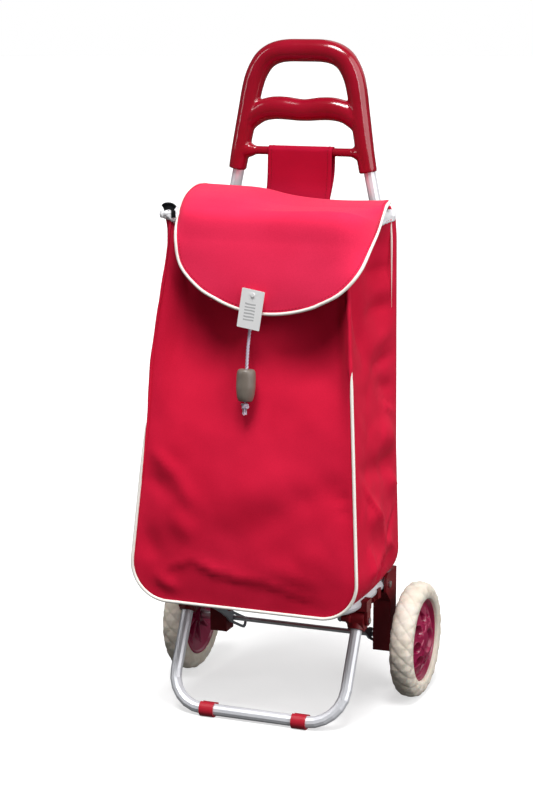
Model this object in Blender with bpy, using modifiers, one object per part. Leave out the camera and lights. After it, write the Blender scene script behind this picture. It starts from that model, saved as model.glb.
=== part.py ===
"""Two-wheeled folding shopping trolley: tube frame, fold-up base and foot, fabric bag with a flap.

Metres, +Z up. +X is the trolley's right seen from the front, -Y is its front (the bag's face).
The origin is the centre of the trolley's footprint on the floor.
"""
import math

import bmesh
import bpy
from mathutils import Matrix, Vector

# ---------------------------------------------------------------- driving dimensions
GAP = 0.0003                  # between faces that touch
WHEEL_RADIUS = 0.080
WHEEL_X = 0.168               # centre plane of each wheel
TYRE_WIDTH = 0.033
RIM_RADIUS = 0.0575
AXLE_RADIUS = 0.0035
TUBE_RADIUS = 0.008
TUBE_WALL = 0.0011
FRAME_X = 0.1225              # plane of each upright, base rail and foot leg

BAG_REACH = 0.2258            # frontmost fabric, ahead of the axle
AXLE_Y = (BAG_REACH - WHEEL_RADIUS) / 2
AXLE_Z = WHEEL_RADIUS

# uprights and handle
UPRIGHT_FOOT_Z = 0.100
UPRIGHT_BEND_Z = 0.588
UPRIGHT_LEAN = 0.2105         # inward run per metre of rise above the bend
UPRIGHT_TOP_Z = 0.768
HANDLE_FOOT_Z = 0.722
HANDLE_TOP_Z = 0.882          # centre line of the top grip
HANDLE_LEG_RADIUS = 0.0120
HANDLE_TOP_RADIUS = 0.0148
HANDLE_CORNER = 0.026
HANDLE_BACK = 0.011           # how far the top grip sits behind the uprights
CROSSBAR_Z = 0.748
CROSSBAR_RADIUS = 0.005
GRIP_Z = 0.803

# folding base and foot
BASE_Z = 0.161
BASE_PIVOT_Y = -0.020         # from the axle
BASE_FRONT_Y = -0.172
BASE_CORNER = 0.045
FOOT_BAR_Y = -0.185
FOOT_BAR_Z = 0.010
FOOT_PIVOT_Y = -0.1154
FOOT_PIVOT_Z = 0.137
FOOT_LEG_SLOPE = 0.5478       # rearward run per metre of rise
FOOT_LEG_TOP_Z = 0.146
FOOT_CORNER = 0.048
STRUT_X = 0.104
STRUT_THICK = 0.003
STRUT_PIN_Y = -0.132
STRUT_PIN_Z = 0.142
STRUT_TRAVEL = 0.0420         # the slot's length along the axle's path
PIN_RADIUS = 0.0024
PIN_HOLE = 0.0027
CLIP_X = 0.066

# bag
FABRIC = 0.0024
BAG_BOTTOM_Z = 0.170
BAG_TOP_Z = 0.668
BAG_REAR_TOP_Z = 0.692
BAG_FULL_Z = 0.220            # below this height the bag stops widening
BAG_FRONT_Y = -0.2245
BAG_FRONT_RISE = 0.110        # the front leans back by this much per metre of height
BAG_FRONT_HALF = 0.1555
BAG_FRONT_TAPER = 0.0733
BAG_REAR_Y = -0.034
BAG_REAR_HALF = 0.151
BAG_REAR_TAPER = 0.035
BAG_CORNER = 0.048
CORNER_ANGLES = (0, 18, 36, 54, 72, 90)
PIPING_RADIUS = 0.0022
HOOP_RADIUS = 0.0025

# flap, tag, cord
FLAP_HINGE_Y = -0.030
FLAP_HINGE_Z = 0.697
FLAP_THICK = 0.0025
PIPING_OUT = 0.0040            # from the flap's edge to the middle of its piping
TAG_WIDTH = 0.031
TAG_HEIGHT = 0.051
TAG_THICK = 0.0008
TAG_TILT = math.radians(9.0)
TAG_HOLE = (0.0107, -0.2128, 0.5820)
CORD_RADIUS = 0.00225
BEAD_RADIUS = 0.0127
BEAD_HEIGHT = 0.0415
BEAD_CENTRE = (0.0007, -0.2126, 0.4643)
CORD_SLANT = 0.107            # the hanging cord follows the bag's lean

SIDES = (("left", -1), ("right", 1))

# ---------------------------------------------------------------- scene helpers
PARTS = bpy.data.collections.new("shopping_trolley")
CUTTERS = bpy.data.collections.new("cutters")
YZ_PLATE = Matrix(((0, 0, 1, 0), (1, 0, 0, 0), (0, 1, 0, 0), (0, 0, 0, 1)))

COLOURS = {
    "handle_plastic": ((0.30, 0.008, 0.035), 0.22, 0.0),
    "bracket_plastic": ((0.11, 0.008, 0.014), 0.40, 0.0),
    "clip_plastic": ((0.58, 0.015, 0.035), 0.35, 0.0),
    "rim_plastic": ((0.30, 0.006, 0.050), 0.35, 0.0),
    "tyre_foam": ((0.82, 0.79, 0.72), 0.80, 0.0),
    "tube_steel": ((0.42, 0.44, 0.48), 0.35, 1.0),
    "strut_steel": ((0.30, 0.32, 0.35), 0.45, 1.0),
    "bolt_steel": ((0.62, 0.63, 0.65), 0.30, 1.0),
    "bag_fabric": ((0.50, 0.008, 0.035), 0.85, 0.0),
    "flap_fabric": ((0.62, 0.012, 0.060), 0.80, 0.0),
    "piping_white": ((0.85, 0.82, 0.78), 0.60, 0.0),
    "lining_fabric": ((0.72, 0.70, 0.70), 0.85, 0.0),
    "webbing_black": ((0.02, 0.02, 0.022), 0.80, 0.0),
    "board_plastic": ((0.05, 0.05, 0.05), 0.60, 0.0),
    "cord_braid": ((0.48, 0.42, 0.52), 0.85, 0.0),
    "bead_plastic": ((0.16, 0.13, 0.12), 0.45, 0.0),
    "tag_card": ((0.90, 0.90, 0.90), 0.50, 0.0),
}


def make_materials():
    made = {}
    for name, (colour, roughness, metallic) in COLOURS.items():
        material = bpy.data.materials.new(name)
        material.use_nodes = True
        shader = material.node_tree.nodes["Principled BSDF"]
        shader.inputs["Base Color"].default_value = (*colour, 1.0)
        shader.inputs["Roughness"].default_value = roughness
        shader.inputs["Metallic"].default_value = metallic
        made[name] = material
    return made


def place(obj, material=None):
    """Put an object in the trolley's collection, or in the cutters' when it has no material."""
    for collection in list(obj.users_collection):
        collection.objects.unlink(obj)
    if material is None:
        CUTTERS.objects.link(obj)
        obj.hide_render = True
        obj.display_type = "WIRE"
        return obj
    PARTS.objects.link(obj)
    obj.data.materials.clear()
    obj.data.materials.append(MATERIALS[material])
    obj.data.set_sharp_from_angle(angle=math.radians(35))
    return obj


def mesh_object(name, bm):
    mesh = bpy.data.meshes.new(name)
    bm.to_mesh(mesh)
    bm.free()
    mesh.shade_smooth()
    obj = bpy.data.objects.new(name, mesh)
    bpy.context.scene.collection.objects.link(obj)
    return obj


def curve_to_mesh(obj):
    """Turn a curve object into a welded mesh object of the same name and place."""
    bpy.context.view_layer.update()
    mesh = bpy.data.meshes.new_from_object(obj.evaluated_get(bpy.context.evaluated_depsgraph_get()))
    name = obj.name
    matrix = obj.matrix_world.copy()
    bpy.data.objects.remove(obj)
    bm = bmesh.new()
    bm.from_mesh(mesh)
    bmesh.ops.remove_doubles(bm, verts=bm.verts, dist=0.00001)
    bmesh.ops.transform(bm, matrix=matrix, verts=bm.verts)
    bmesh.ops.recalc_face_normals(bm, faces=bm.faces)
    bpy.data.meshes.remove(mesh)
    return mesh_object(name, bm)


def sweep(name, points, radius, resolution=3, radii=None, caps=True):
    """A round rod along a polyline; radii scales the radius at each point."""
    curve = bpy.data.curves.new(name, "CURVE")
    curve.dimensions = "3D"
    curve.bevel_depth = radius
    curve.bevel_resolution = resolution
    curve.use_fill_caps = caps
    spline = curve.splines.new("POLY")
    spline.points.add(len(points) - 1)
    for index, point in enumerate(points):
        spline.points[index].co = (*point, 1.0)
        spline.points[index].radius = radii[index] if radii else 1.0
    obj = bpy.data.objects.new(name, curve)
    bpy.context.scene.collection.objects.link(obj)
    return curve_to_mesh(obj)


def hollow_tube(name, points):
    """A steel tube with open ends."""
    obj = sweep(name, points, TUBE_RADIUS, resolution=4, caps=False)
    wall = obj.modifiers.new("wall", "SOLIDIFY")
    wall.thickness = TUBE_WALL
    wall.offset = -1.0
    return obj


def plate(name, outlines, centre_x, thickness):
    """A flat piece in the YZ plane: the first outline is its edge, the others are holes."""
    curve = bpy.data.curves.new(name, "CURVE")
    curve.dimensions = "2D"
    curve.fill_mode = "BOTH"
    curve.extrude = thickness / 2
    for outline in outlines:
        spline = curve.splines.new("POLY")
        spline.points.add(len(outline) - 1)
        spline.use_cyclic_u = True
        for index, (y, z) in enumerate(outline):
            spline.points[index].co = (y, z, 0.0, 1.0)
    obj = bpy.data.objects.new(name, curve)
    bpy.context.scene.collection.objects.link(obj)
    obj.matrix_world = Matrix.Translation((centre_x, 0, 0)) @ YZ_PLATE
    return curve_to_mesh(obj)


def cylinder(name, start, end, radius, sides=20):
    start = Vector(start)
    end = Vector(end)
    bm = bmesh.new()
    length = (end - start).length
    bmesh.ops.create_cone(bm, cap_ends=True, segments=sides, radius1=radius, radius2=radius, depth=length)
    turn = (end - start).to_track_quat("Z", "Y").to_matrix().to_4x4()
    bmesh.ops.transform(bm, matrix=Matrix.Translation((start + end) / 2) @ turn, verts=bm.verts)
    return mesh_object(name, bm)


def box(name, low, high):
    low = Vector(low)
    high = Vector(high)
    bm = bmesh.new()
    bmesh.ops.create_cube(bm, size=1.0)
    size = high - low
    matrix = Matrix.Translation((low + high) / 2) @ Matrix.Diagonal((*size, 1.0))
    bmesh.ops.transform(bm, matrix=matrix, verts=bm.verts)
    return mesh_object(name, bm)


def turned(name, profile, origin, steps=40, axis="X"):
    """A piece turned about a line through origin; profile is (radius, height) and runs outside down."""
    bm = bmesh.new()
    verts = [bm.verts.new((radius, 0.0, height)) for radius, height in profile]
    for first, second in zip(verts, verts[1:] + verts[:1]):
        bm.edges.new((first, second))
    obj = mesh_object(name, bm)
    if axis == "X":
        obj.rotation_euler = (0.0, math.radians(90), 0.0)
    obj.location = origin
    screw = obj.modifiers.new("turn", "SCREW")
    screw.steps = steps
    screw.render_steps = steps
    screw.use_merge_vertices = True
    screw.merge_threshold = 0.00001
    screw.use_smooth_shade = True
    return obj


def combine(target, other, operation):
    """Add a Boolean of another object, which becomes a cutter."""
    place(other)
    modifier = target.modifiers.new(other.name, "BOOLEAN")
    modifier.object = other
    modifier.operation = operation
    modifier.solver = "EXACT"
    return target


def cut(target, other):
    return combine(target, other, "DIFFERENCE")


def join(target, other):
    return combine(target, other, "UNION")


def fillet(points, radius, steps=6):
    """Round the inner corners of a polyline with arcs."""
    points = [Vector(point) for point in points]
    rounded = [points[0]]
    for before, corner, after in zip(points, points[1:], points[2:]):
        arriving = (corner - before).normalized()
        leaving = (after - corner).normalized()
        turn = arriving.angle(leaving)
        setback = radius * math.tan(turn / 2)
        start = corner - arriving * setback
        inward = (leaving - arriving * arriving.dot(leaving)).normalized()
        centre = start + inward * radius
        for step in range(steps + 1):
            angle = turn * step / steps
            rounded.append(centre - inward * radius * math.cos(angle) + arriving * radius * math.sin(angle))
    rounded.append(points[-1])
    return rounded


def smooth_route(points, count):
    """Evenly spaced points on a Catmull-Rom curve through a route's own points."""
    points = [Vector(point) for point in points]
    padded = [points[0] * 2 - points[1], *points, points[-1] * 2 - points[-2]]
    fine = []
    for p0, p1, p2, p3 in zip(padded, padded[1:], padded[2:], padded[3:]):
        for step in range(20):
            t = step / 20
            fine.append(0.5 * (2 * p1 + (p2 - p0) * t + (2 * p0 - 5 * p1 + 4 * p2 - p3) * t * t
                               + (3 * p1 - p0 - 3 * p2 + p3) * t * t * t))
    fine.append(points[-1])
    travelled = [0.0]
    for first, second in zip(fine, fine[1:]):
        travelled.append(travelled[-1] + (second - first).length)
    even = []
    place_on = 0
    for index in range(count):
        wanted = travelled[-1] * index / (count - 1)
        while place_on < len(fine) - 2 and travelled[place_on + 1] < wanted:
            place_on += 1
        span = travelled[place_on + 1] - travelled[place_on]
        even.append(fine[place_on].lerp(fine[place_on + 1], (wanted - travelled[place_on]) / span))
    return even


def fabric_panel(name, rows, thickness=FABRIC):
    """A cloth panel through a grid of points, thickened to both sides."""
    bm = bmesh.new()
    grid = [[bm.verts.new(point) for point in row] for row in rows]
    for upper, lower in zip(grid, grid[1:]):
        for index in range(len(upper) - 1):
            bm.faces.new((upper[index], upper[index + 1], lower[index + 1], lower[index]))
    bmesh.ops.recalc_face_normals(bm, faces=bm.faces)
    obj = mesh_object(name, bm)
    solid = obj.modifiers.new("cloth", "SOLIDIFY")
    solid.thickness = thickness
    solid.offset = 0.0
    return obj


def circle(y, z, radius, count=14):
    return [(y + radius * math.cos(math.tau * i / count), z + radius * math.sin(math.tau * i / count))
            for i in range(count)]


def capsule(start, end, radius, steps=7):
    """The outline of a bar with round ends, between two points of the YZ plane."""
    heading = math.atan2(end[1] - start[1], end[0] - start[0])
    outline = []
    for (y, z), first in ((end, heading - math.pi / 2), (start, heading + math.pi / 2)):
        for step in range(steps + 1):
            angle = first + math.pi * step / steps
            outline.append((y + radius * math.cos(angle), z + radius * math.sin(angle)))
    return outline


def body_empty(name, location):
    """An empty on a joint's axis, which the moving pieces are parented to."""
    empty = bpy.data.objects.new(name, None)
    empty.empty_display_size = 0.02
    empty.location = location
    PARTS.objects.link(empty)
    return empty


def hang_on(empty, *pieces):
    for piece in pieces:
        piece.parent = empty
        piece.matrix_parent_inverse = Matrix.Translation(empty.location).inverted()


def from_axle(y):
    return AXLE_Y + y


# ---------------------------------------------------------------- handle and uprights
def lean_x(z):
    """The uprights' distance from the middle plane at a height."""
    return FRAME_X - UPRIGHT_LEAN * max(0.0, z - UPRIGHT_BEND_Z)


def handle_back(z):
    """The handle leans back above its crossbar."""
    return AXLE_Y + HANDLE_BACK * max(0.0, z - CROSSBAR_Z) / (HANDLE_TOP_Z - CROSSBAR_Z)


def make_upright(side, sign):
    points = fillet([
        (sign * FRAME_X, AXLE_Y, UPRIGHT_FOOT_Z),
        (sign * FRAME_X, AXLE_Y, UPRIGHT_BEND_Z),
        (sign * lean_x(UPRIGHT_TOP_Z), AXLE_Y, UPRIGHT_TOP_Z),
    ], 0.10, steps=4)
    upright = hollow_tube(f"upright_{side}", points)
    screw_z = 0.740
    x = sign * lean_x(screw_z)
    hole = cylinder(f"upright_{side}_screw_hole", (x, AXLE_Y, screw_z), (x, AXLE_Y + 0.03, screw_z), 0.0023, 12)
    rivet_hole = cylinder(f"upright_{side}_rivet_hole", (sign * FRAME_X, AXLE_Y, 0.118),
                          (sign * FRAME_X, AXLE_Y + 0.03, 0.118), 0.0023, 12)
    cut(upright, hole)
    cut(upright, rivet_hole)
    return place(upright, "tube_steel")


def make_handle():
    peak_x = FRAME_X - UPRIGHT_LEAN * (HANDLE_TOP_Z - UPRIGHT_BEND_Z)
    half = [(-lean_x(HANDLE_FOOT_Z), HANDLE_FOOT_Z), (-lean_x(0.748), 0.748), (-lean_x(0.800), 0.800)]
    flat = fillet([(-lean_x(0.800), 0.0, 0.800), (-peak_x, 0.0, HANDLE_TOP_Z), (0.0, 0.0, HANDLE_TOP_Z)],
                  HANDLE_CORNER, steps=7)
    outline = half[:2] + [(point.x, point.z) for point in flat]
    outline += [(-x, z) for x, z in reversed(outline[:-1])]
    points = [(x, handle_back(z), z) for x, z in outline]
    swell = HANDLE_TOP_RADIUS / HANDLE_LEG_RADIUS - 1.0
    radii = [1.0 + swell * max(0.0, z - 0.80) / (HANDLE_TOP_Z - 0.80) for x, z in outline]
    handle = sweep("handle", points, HANDLE_LEG_RADIUS, resolution=4, radii=radii)

    grip_shape = [(0.072, -0.010, 0.85), (0.058, -0.002, 0.98), (0.040, 0.003, 1.05), (0.022, 0.003, 1.05),
                  (0.009, 0.000, 0.98), (0.0, -0.001, 0.95)]
    grip = [(-x, dz, r) for x, dz, r in grip_shape] + [(x, dz, r) for x, dz, r in reversed(grip_shape[:-1])]
    grip_bar = sweep("handle_grip_bar", [(x, handle_back(GRIP_Z), GRIP_Z + dz) for x, dz, r in grip], 0.0140,
                     resolution=3, radii=[r for x, dz, r in grip])
    leg_x = lean_x(CROSSBAR_Z)
    bar_shape = [(leg_x, 1.9), (leg_x - 0.013, 1.5), (leg_x - 0.019, 1.0), (0.0, 1.0)]
    bar = [(-x, r) for x, r in bar_shape] + [(x, r) for x, r in reversed(bar_shape[:-1])]
    crossbar = sweep("handle_crossbar", [(x, AXLE_Y, CROSSBAR_Z) for x, r in bar], CROSSBAR_RADIUS,
                     resolution=2, radii=[r for x, r in bar])
    join(handle, grip_bar)
    join(handle, crossbar)
    for side, sign in SIDES:
        low_z = HANDLE_FOOT_Z - 0.01
        high_z = UPRIGHT_TOP_Z + 0.001
        bore = cylinder(f"handle_bore_{side}", (sign * lean_x(low_z), AXLE_Y, low_z),
                        (sign * lean_x(high_z), AXLE_Y, high_z), TUBE_RADIUS + GAP, 24)
        x = sign * lean_x(0.740)
        hole = cylinder(f"handle_screw_hole_{side}", (x, AXLE_Y, 0.740), (x, AXLE_Y + 0.03, 0.740), 0.0023, 12)
        cut(handle, bore)
        cut(handle, hole)
    return place(handle, "handle_plastic")


def make_handle_screw(side, sign):
    x = sign * lean_x(0.740)
    shank = cylinder(f"handle_screw_{side}", (x, AXLE_Y + 0.005, 0.740), (x, AXLE_Y + 0.0135, 0.740), 0.0020, 12)
    head = cylinder(f"handle_screw_{side}_head", (x, AXLE_Y + 0.0125, 0.740), (x, AXLE_Y + 0.0150, 0.740),
                    0.0040, 14)
    join(shank, head)
    return place(shank, "bolt_steel")


# ---------------------------------------------------------------- rear brackets, axle and wheels
BRACKET_HALF = 0.0125
BRACKET_FOOT_Z = 0.062
BRACKET_TOP_Z = 0.1785
BRACKET_NOSE_Y = -0.0315
CHEEK = 0.0038


def make_wheel_bracket(side, sign):
    x = sign * FRAME_X
    outline = [
        (from_axle(-0.013), BRACKET_FOOT_Z), (from_axle(0.013), BRACKET_FOOT_Z),
        (from_axle(0.013), BRACKET_TOP_Z), (from_axle(-0.024), BRACKET_TOP_Z),
        (from_axle(BRACKET_NOSE_Y), BRACKET_TOP_Z - 0.006), (from_axle(BRACKET_NOSE_Y), 0.152),
        (from_axle(-0.013), 0.134),
    ]
    bracket = plate(f"wheel_bracket_{side}", [outline], x, 2 * BRACKET_HALF)
    bore = cylinder(f"bracket_bore_{side}", (x, AXLE_Y, UPRIGHT_FOOT_Z - GAP), (x, AXLE_Y, 0.200),
                    TUBE_RADIUS + GAP, 24)
    axle_hole = cylinder(f"bracket_axle_hole_{side}", (x - 0.02, AXLE_Y, AXLE_Z), (x + 0.02, AXLE_Y, AXLE_Z),
                         AXLE_RADIUS + GAP, 16)
    slot_half = BRACKET_HALF - CHEEK
    slot = box(f"bracket_slot_{side}", (x - slot_half, from_axle(-0.040), 0.1505),
               (x + slot_half, from_axle(-0.0085), 0.200))
    bolt_hole = cylinder(f"bracket_bolt_hole_{side}", (x - 0.02, from_axle(BASE_PIVOT_Y), BASE_Z),
                         (x + 0.02, from_axle(BASE_PIVOT_Y), BASE_Z), PIN_HOLE, 14)
    rivet_hole = cylinder(f"bracket_rivet_hole_{side}", (x, AXLE_Y, 0.118), (x, AXLE_Y + 0.03, 0.118), 0.0023, 12)
    for cutter in (bore, axle_hole, slot, bolt_hole, rivet_hole):
        cut(bracket, cutter)
    return place(bracket, "bracket_plastic")


def make_bracket_rivet(side, sign):
    x = sign * FRAME_X
    shank = cylinder(f"bracket_rivet_{side}", (x, AXLE_Y + 0.005, 0.118), (x, AXLE_Y + 0.0140, 0.118), 0.0020, 12)
    head = cylinder(f"bracket_rivet_{side}_head", (x, AXLE_Y + 0.0133, 0.118), (x, AXLE_Y + 0.0152, 0.118),
                    0.0040, 14)
    join(shank, head)
    return place(shank, "bolt_steel")


def make_axle():
    end = WHEEL_X + 0.0135
    rod = cylinder("axle", (-end, AXLE_Y, AXLE_Z), (end, AXLE_Y, AXLE_Z), AXLE_RADIUS, 20)
    return place(rod, "bolt_steel")


def mirror_profile(profile, sign):
    """Profiles are drawn for the right side, where height runs outward along +X."""
    if sign > 0:
        return profile
    return [(radius, -height) for radius, height in reversed(profile)]


def make_axle_spacer(side, sign):
    bore = AXLE_RADIUS + GAP
    inner = FRAME_X + BRACKET_HALF + GAP - WHEEL_X
    outer = -0.0150
    profile = [(0.0062, outer), (0.0062, inner), (bore, inner), (bore, outer)]
    spacer = turned(f"axle_spacer_{side}", mirror_profile(profile, sign), (sign * WHEEL_X, AXLE_Y, AXLE_Z), 20)
    return place(spacer, "bolt_steel")


def make_axle_cap(side, sign):
    """The push-on nut that keeps the wheel on the axle."""
    bore = AXLE_RADIUS + GAP
    profile = [(0.0075, 0.0128), (0.0075, 0.0098), (bore, 0.0098), (bore, 0.0128)]
    nut = turned(f"push_nut_{side}", mirror_profile(profile, sign), (sign * WHEEL_X, AXLE_Y, AXLE_Z), 16)
    return place(nut, "bolt_steel")


def make_tyre(side, sign):
    half = TYRE_WIDTH / 2
    inner = RIM_RADIUS + GAP
    profile = [
        (WHEEL_RADIUS - 0.006, half), (WHEEL_RADIUS - 0.0015, half - 0.0055), (WHEEL_RADIUS, half - 0.011),
        (WHEEL_RADIUS, -half + 0.011), (WHEEL_RADIUS - 0.0015, -half + 0.0055), (WHEEL_RADIUS - 0.006, -half),
        (inner + 0.004, -half), (inner, -half + 0.003), (inner, half - 0.003), (inner + 0.004, half),
    ]
    tyre = turned(f"tyre_{side}", mirror_profile(profile, sign), (sign * WHEEL_X, AXLE_Y, AXLE_Z), 48)
    return place(tyre, "tyre_foam")


def make_rim(side, sign):
    """A deep rim barrel with a dished face near its outer side and a hub tube on the axle."""
    bore = AXLE_RADIUS + GAP
    half = 0.0140
    profile = [
        (RIM_RADIUS, half), (RIM_RADIUS, -half), (RIM_RADIUS - 0.0025, -half), (RIM_RADIUS - 0.004, 0.002),
        (0.0120, 0.0045), (0.0100, -half - 0.0005), (bore, -half - 0.0005), (bore, 0.0095), (0.0130, 0.0095),
        (0.0150, 0.0085), (RIM_RADIUS - 0.008, 0.0060), (RIM_RADIUS - 0.0045, half),
    ]
    centre = (sign * WHEEL_X, AXLE_Y, AXLE_Z)
    rim = turned(f"rim_{side}", mirror_profile(profile, sign), centre, 40)
    holes = 5
    for index in range(holes):
        angle = math.tau * (index + 0.25) / holes
        y = AXLE_Y + 0.034 * math.cos(angle)
        z = AXLE_Z + 0.034 * math.sin(angle)
        window = cylinder(f"rim_window_{side}_{index}", (sign * WHEEL_X, y, z), (sign * (WHEEL_X + 0.02), y, z),
                          0.0075, 12)
        cut(rim, window)
    return place(rim, "rim_plastic")


def make_hub_cap(side, sign):
    """A domed cover over the push nut."""
    profile = [
        (0.0, 0.0172), (0.0060, 0.0168), (0.0110, 0.0152), (0.0145, 0.0124), (0.0155, 0.0100),
        (0.0135, 0.0099), (0.0125, 0.0118), (0.0095, 0.0138), (0.0050, 0.0148), (0.0, 0.0150),
    ]
    bm = bmesh.new()
    ordered = mirror_profile(profile, sign)
    verts = [bm.verts.new((radius, 0.0, height)) for radius, height in ordered]
    for first, second in zip(verts, verts[1:]):
        bm.edges.new((first, second))
    cap = mesh_object(f"hub_cap_{side}", bm)
    cap.rotation_euler = (0.0, math.radians(90), 0.0)
    cap.location = (sign * WHEEL_X, AXLE_Y, AXLE_Z)
    screw = cap.modifiers.new("turn", "SCREW")
    screw.steps = 28
    screw.render_steps = 28
    screw.use_merge_vertices = True
    screw.merge_threshold = 0.00001
    return place(cap, "rim_plastic")


def make_rolling_gear():
    make_axle()
    for side, sign in SIDES:
        make_wheel_bracket(side, sign)
        make_bracket_rivet(side, sign)
        make_axle_spacer(side, sign)
        make_axle_cap(side, sign)
        hub = body_empty(f"wheel_{side}_axis", (sign * WHEEL_X, AXLE_Y, AXLE_Z))
        for piece in (make_tyre(side, sign), make_rim(side, sign), make_hub_cap(side, sign)):
            hang_on(hub, piece)


# ---------------------------------------------------------------- folding base
SADDLE_HALF_Y = 0.010
SADDLE_HALF_X = 0.0155
SADDLE_CHEEK = 0.0035


def make_base_tube():
    rear = from_axle(BASE_PIVOT_Y + 0.007)
    front = from_axle(BASE_FRONT_Y)
    points = fillet([(-FRAME_X, rear, BASE_Z), (-FRAME_X, front, BASE_Z), (FRAME_X, front, BASE_Z),
                     (FRAME_X, rear, BASE_Z)], BASE_CORNER)
    tube = hollow_tube("base_tube", points)
    y = from_axle(BASE_PIVOT_Y)
    for side, sign in SIDES:
        x = sign * FRAME_X
        cut(tube, cylinder(f"base_bolt_hole_{side}", (x - 0.02, y, BASE_Z), (x + 0.02, y, BASE_Z), PIN_HOLE, 14))
    return place(tube, "tube_steel")


def make_base_bolt(side, sign):
    """The bolt that the base swings on, with its round head on the outer cheek."""
    y = from_axle(BASE_PIVOT_Y)
    inner = sign * (FRAME_X - BRACKET_HALF - 0.0015)
    face = sign * (FRAME_X + BRACKET_HALF + GAP)
    outer = sign * (FRAME_X + BRACKET_HALF + 0.0025)
    bolt = cylinder(f"base_bolt_{side}", (inner, y, BASE_Z), (outer, y, BASE_Z), PIN_RADIUS, 14)
    head = cylinder(f"base_bolt_{side}_head", (face, y, BASE_Z), (outer, y, BASE_Z), 0.0048, 16)
    join(bolt, head)
    return place(bolt, "bolt_steel")


def make_front_saddle(side, sign):
    """A snap-on saddle under the base rail whose two cheeks carry the foot's pivot."""
    x = sign * FRAME_X
    y = from_axle(FOOT_PIVOT_Y)
    saddle = box(f"front_saddle_{side}", (x - SADDLE_HALF_X, y - SADDLE_HALF_Y, 0.1512),
                 (x + SADDLE_HALF_X, y + SADDLE_HALF_Y, 0.1660))
    for name, offset in (("inner", -SADDLE_HALF_X + SADDLE_CHEEK / 2), ("outer", SADDLE_HALF_X - SADDLE_CHEEK / 2)):
        arm = plate(f"saddle_{name}_cheek_{side}", [capsule((y, FOOT_PIVOT_Z), (y, 0.1560), 0.0070)],
                    x + sign * offset, SADDLE_CHEEK)
        join(saddle, arm)
    rail = cylinder(f"saddle_rail_{side}", (x, y - 0.03, BASE_Z), (x, y + 0.03, BASE_Z), TUBE_RADIUS + GAP, 28)
    hole = cylinder(f"saddle_hole_{side}", (x - 0.03, y, FOOT_PIVOT_Z), (x + 0.03, y, FOOT_PIVOT_Z), PIN_HOLE, 14)
    cut(saddle, rail)
    cut(saddle, hole)
    return place(saddle, "bracket_plastic")


def make_tube_hook(side, sign):
    """A small hook under the base rail that the bag's bottom loop goes over."""
    x = sign * FRAME_X
    y = from_axle(-0.054)
    hook = box(f"tube_hook_{side}", (x - 0.0100, y - 0.0060, 0.1500), (x + 0.0100, y + 0.0060, 0.1640))
    ball = cylinder(f"tube_hook_knob_{side}", (x, y - 0.0075, 0.1485), (x, y + 0.0075, 0.1485), 0.0050, 14)
    rail = cylinder(f"tube_hook_rail_{side}", (x, y - 0.03, BASE_Z), (x, y + 0.03, BASE_Z), TUBE_RADIUS + GAP, 28)
    join(hook, ball)
    cut(hook, rail)
    return place(hook, "bracket_plastic")


def make_foot_pin(side, sign):
    y = from_axle(FOOT_PIVOT_Y)
    inner = sign * (FRAME_X - SADDLE_HALF_X - 0.0004)
    face = sign * (FRAME_X + SADDLE_HALF_X + GAP)
    outer = sign * (FRAME_X + SADDLE_HALF_X + 0.0020)
    pin = cylinder(f"foot_pin_{side}", (inner, y, FOOT_PIVOT_Z), (outer, y, FOOT_PIVOT_Z), PIN_RADIUS, 14)
    head = cylinder(f"foot_pin_{side}_head", (face, y, FOOT_PIVOT_Z), (outer, y, FOOT_PIVOT_Z), 0.0042, 16)
    join(pin, head)
    return place(pin, "bolt_steel")


# ---------------------------------------------------------------- folding foot
def leg_y(z):
    """The foot leg's distance from the axle plane at a height."""
    return from_axle(FOOT_PIVOT_Y) + FOOT_LEG_SLOPE * (z - FOOT_PIVOT_Z)


def make_foot_tube():
    top_y = leg_y(FOOT_LEG_TOP_Z)
    bar_y = leg_y(FOOT_BAR_Z)
    points = fillet([(-FRAME_X, top_y, FOOT_LEG_TOP_Z), (-FRAME_X, bar_y, FOOT_BAR_Z),
                     (FRAME_X, bar_y, FOOT_BAR_Z), (FRAME_X, top_y, FOOT_LEG_TOP_Z)], FOOT_CORNER)
    tube = hollow_tube("foot_tube", points)
    y = from_axle(FOOT_PIVOT_Y)
    for side, sign in SIDES:
        x = sign * FRAME_X
        cut(tube, cylinder(f"foot_pin_hole_{side}", (x - 0.02, y, FOOT_PIVOT_Z), (x + 0.02, y, FOOT_PIVOT_Z),
                           PIN_HOLE, 14))
    return place(tube, "tube_steel")


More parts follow.
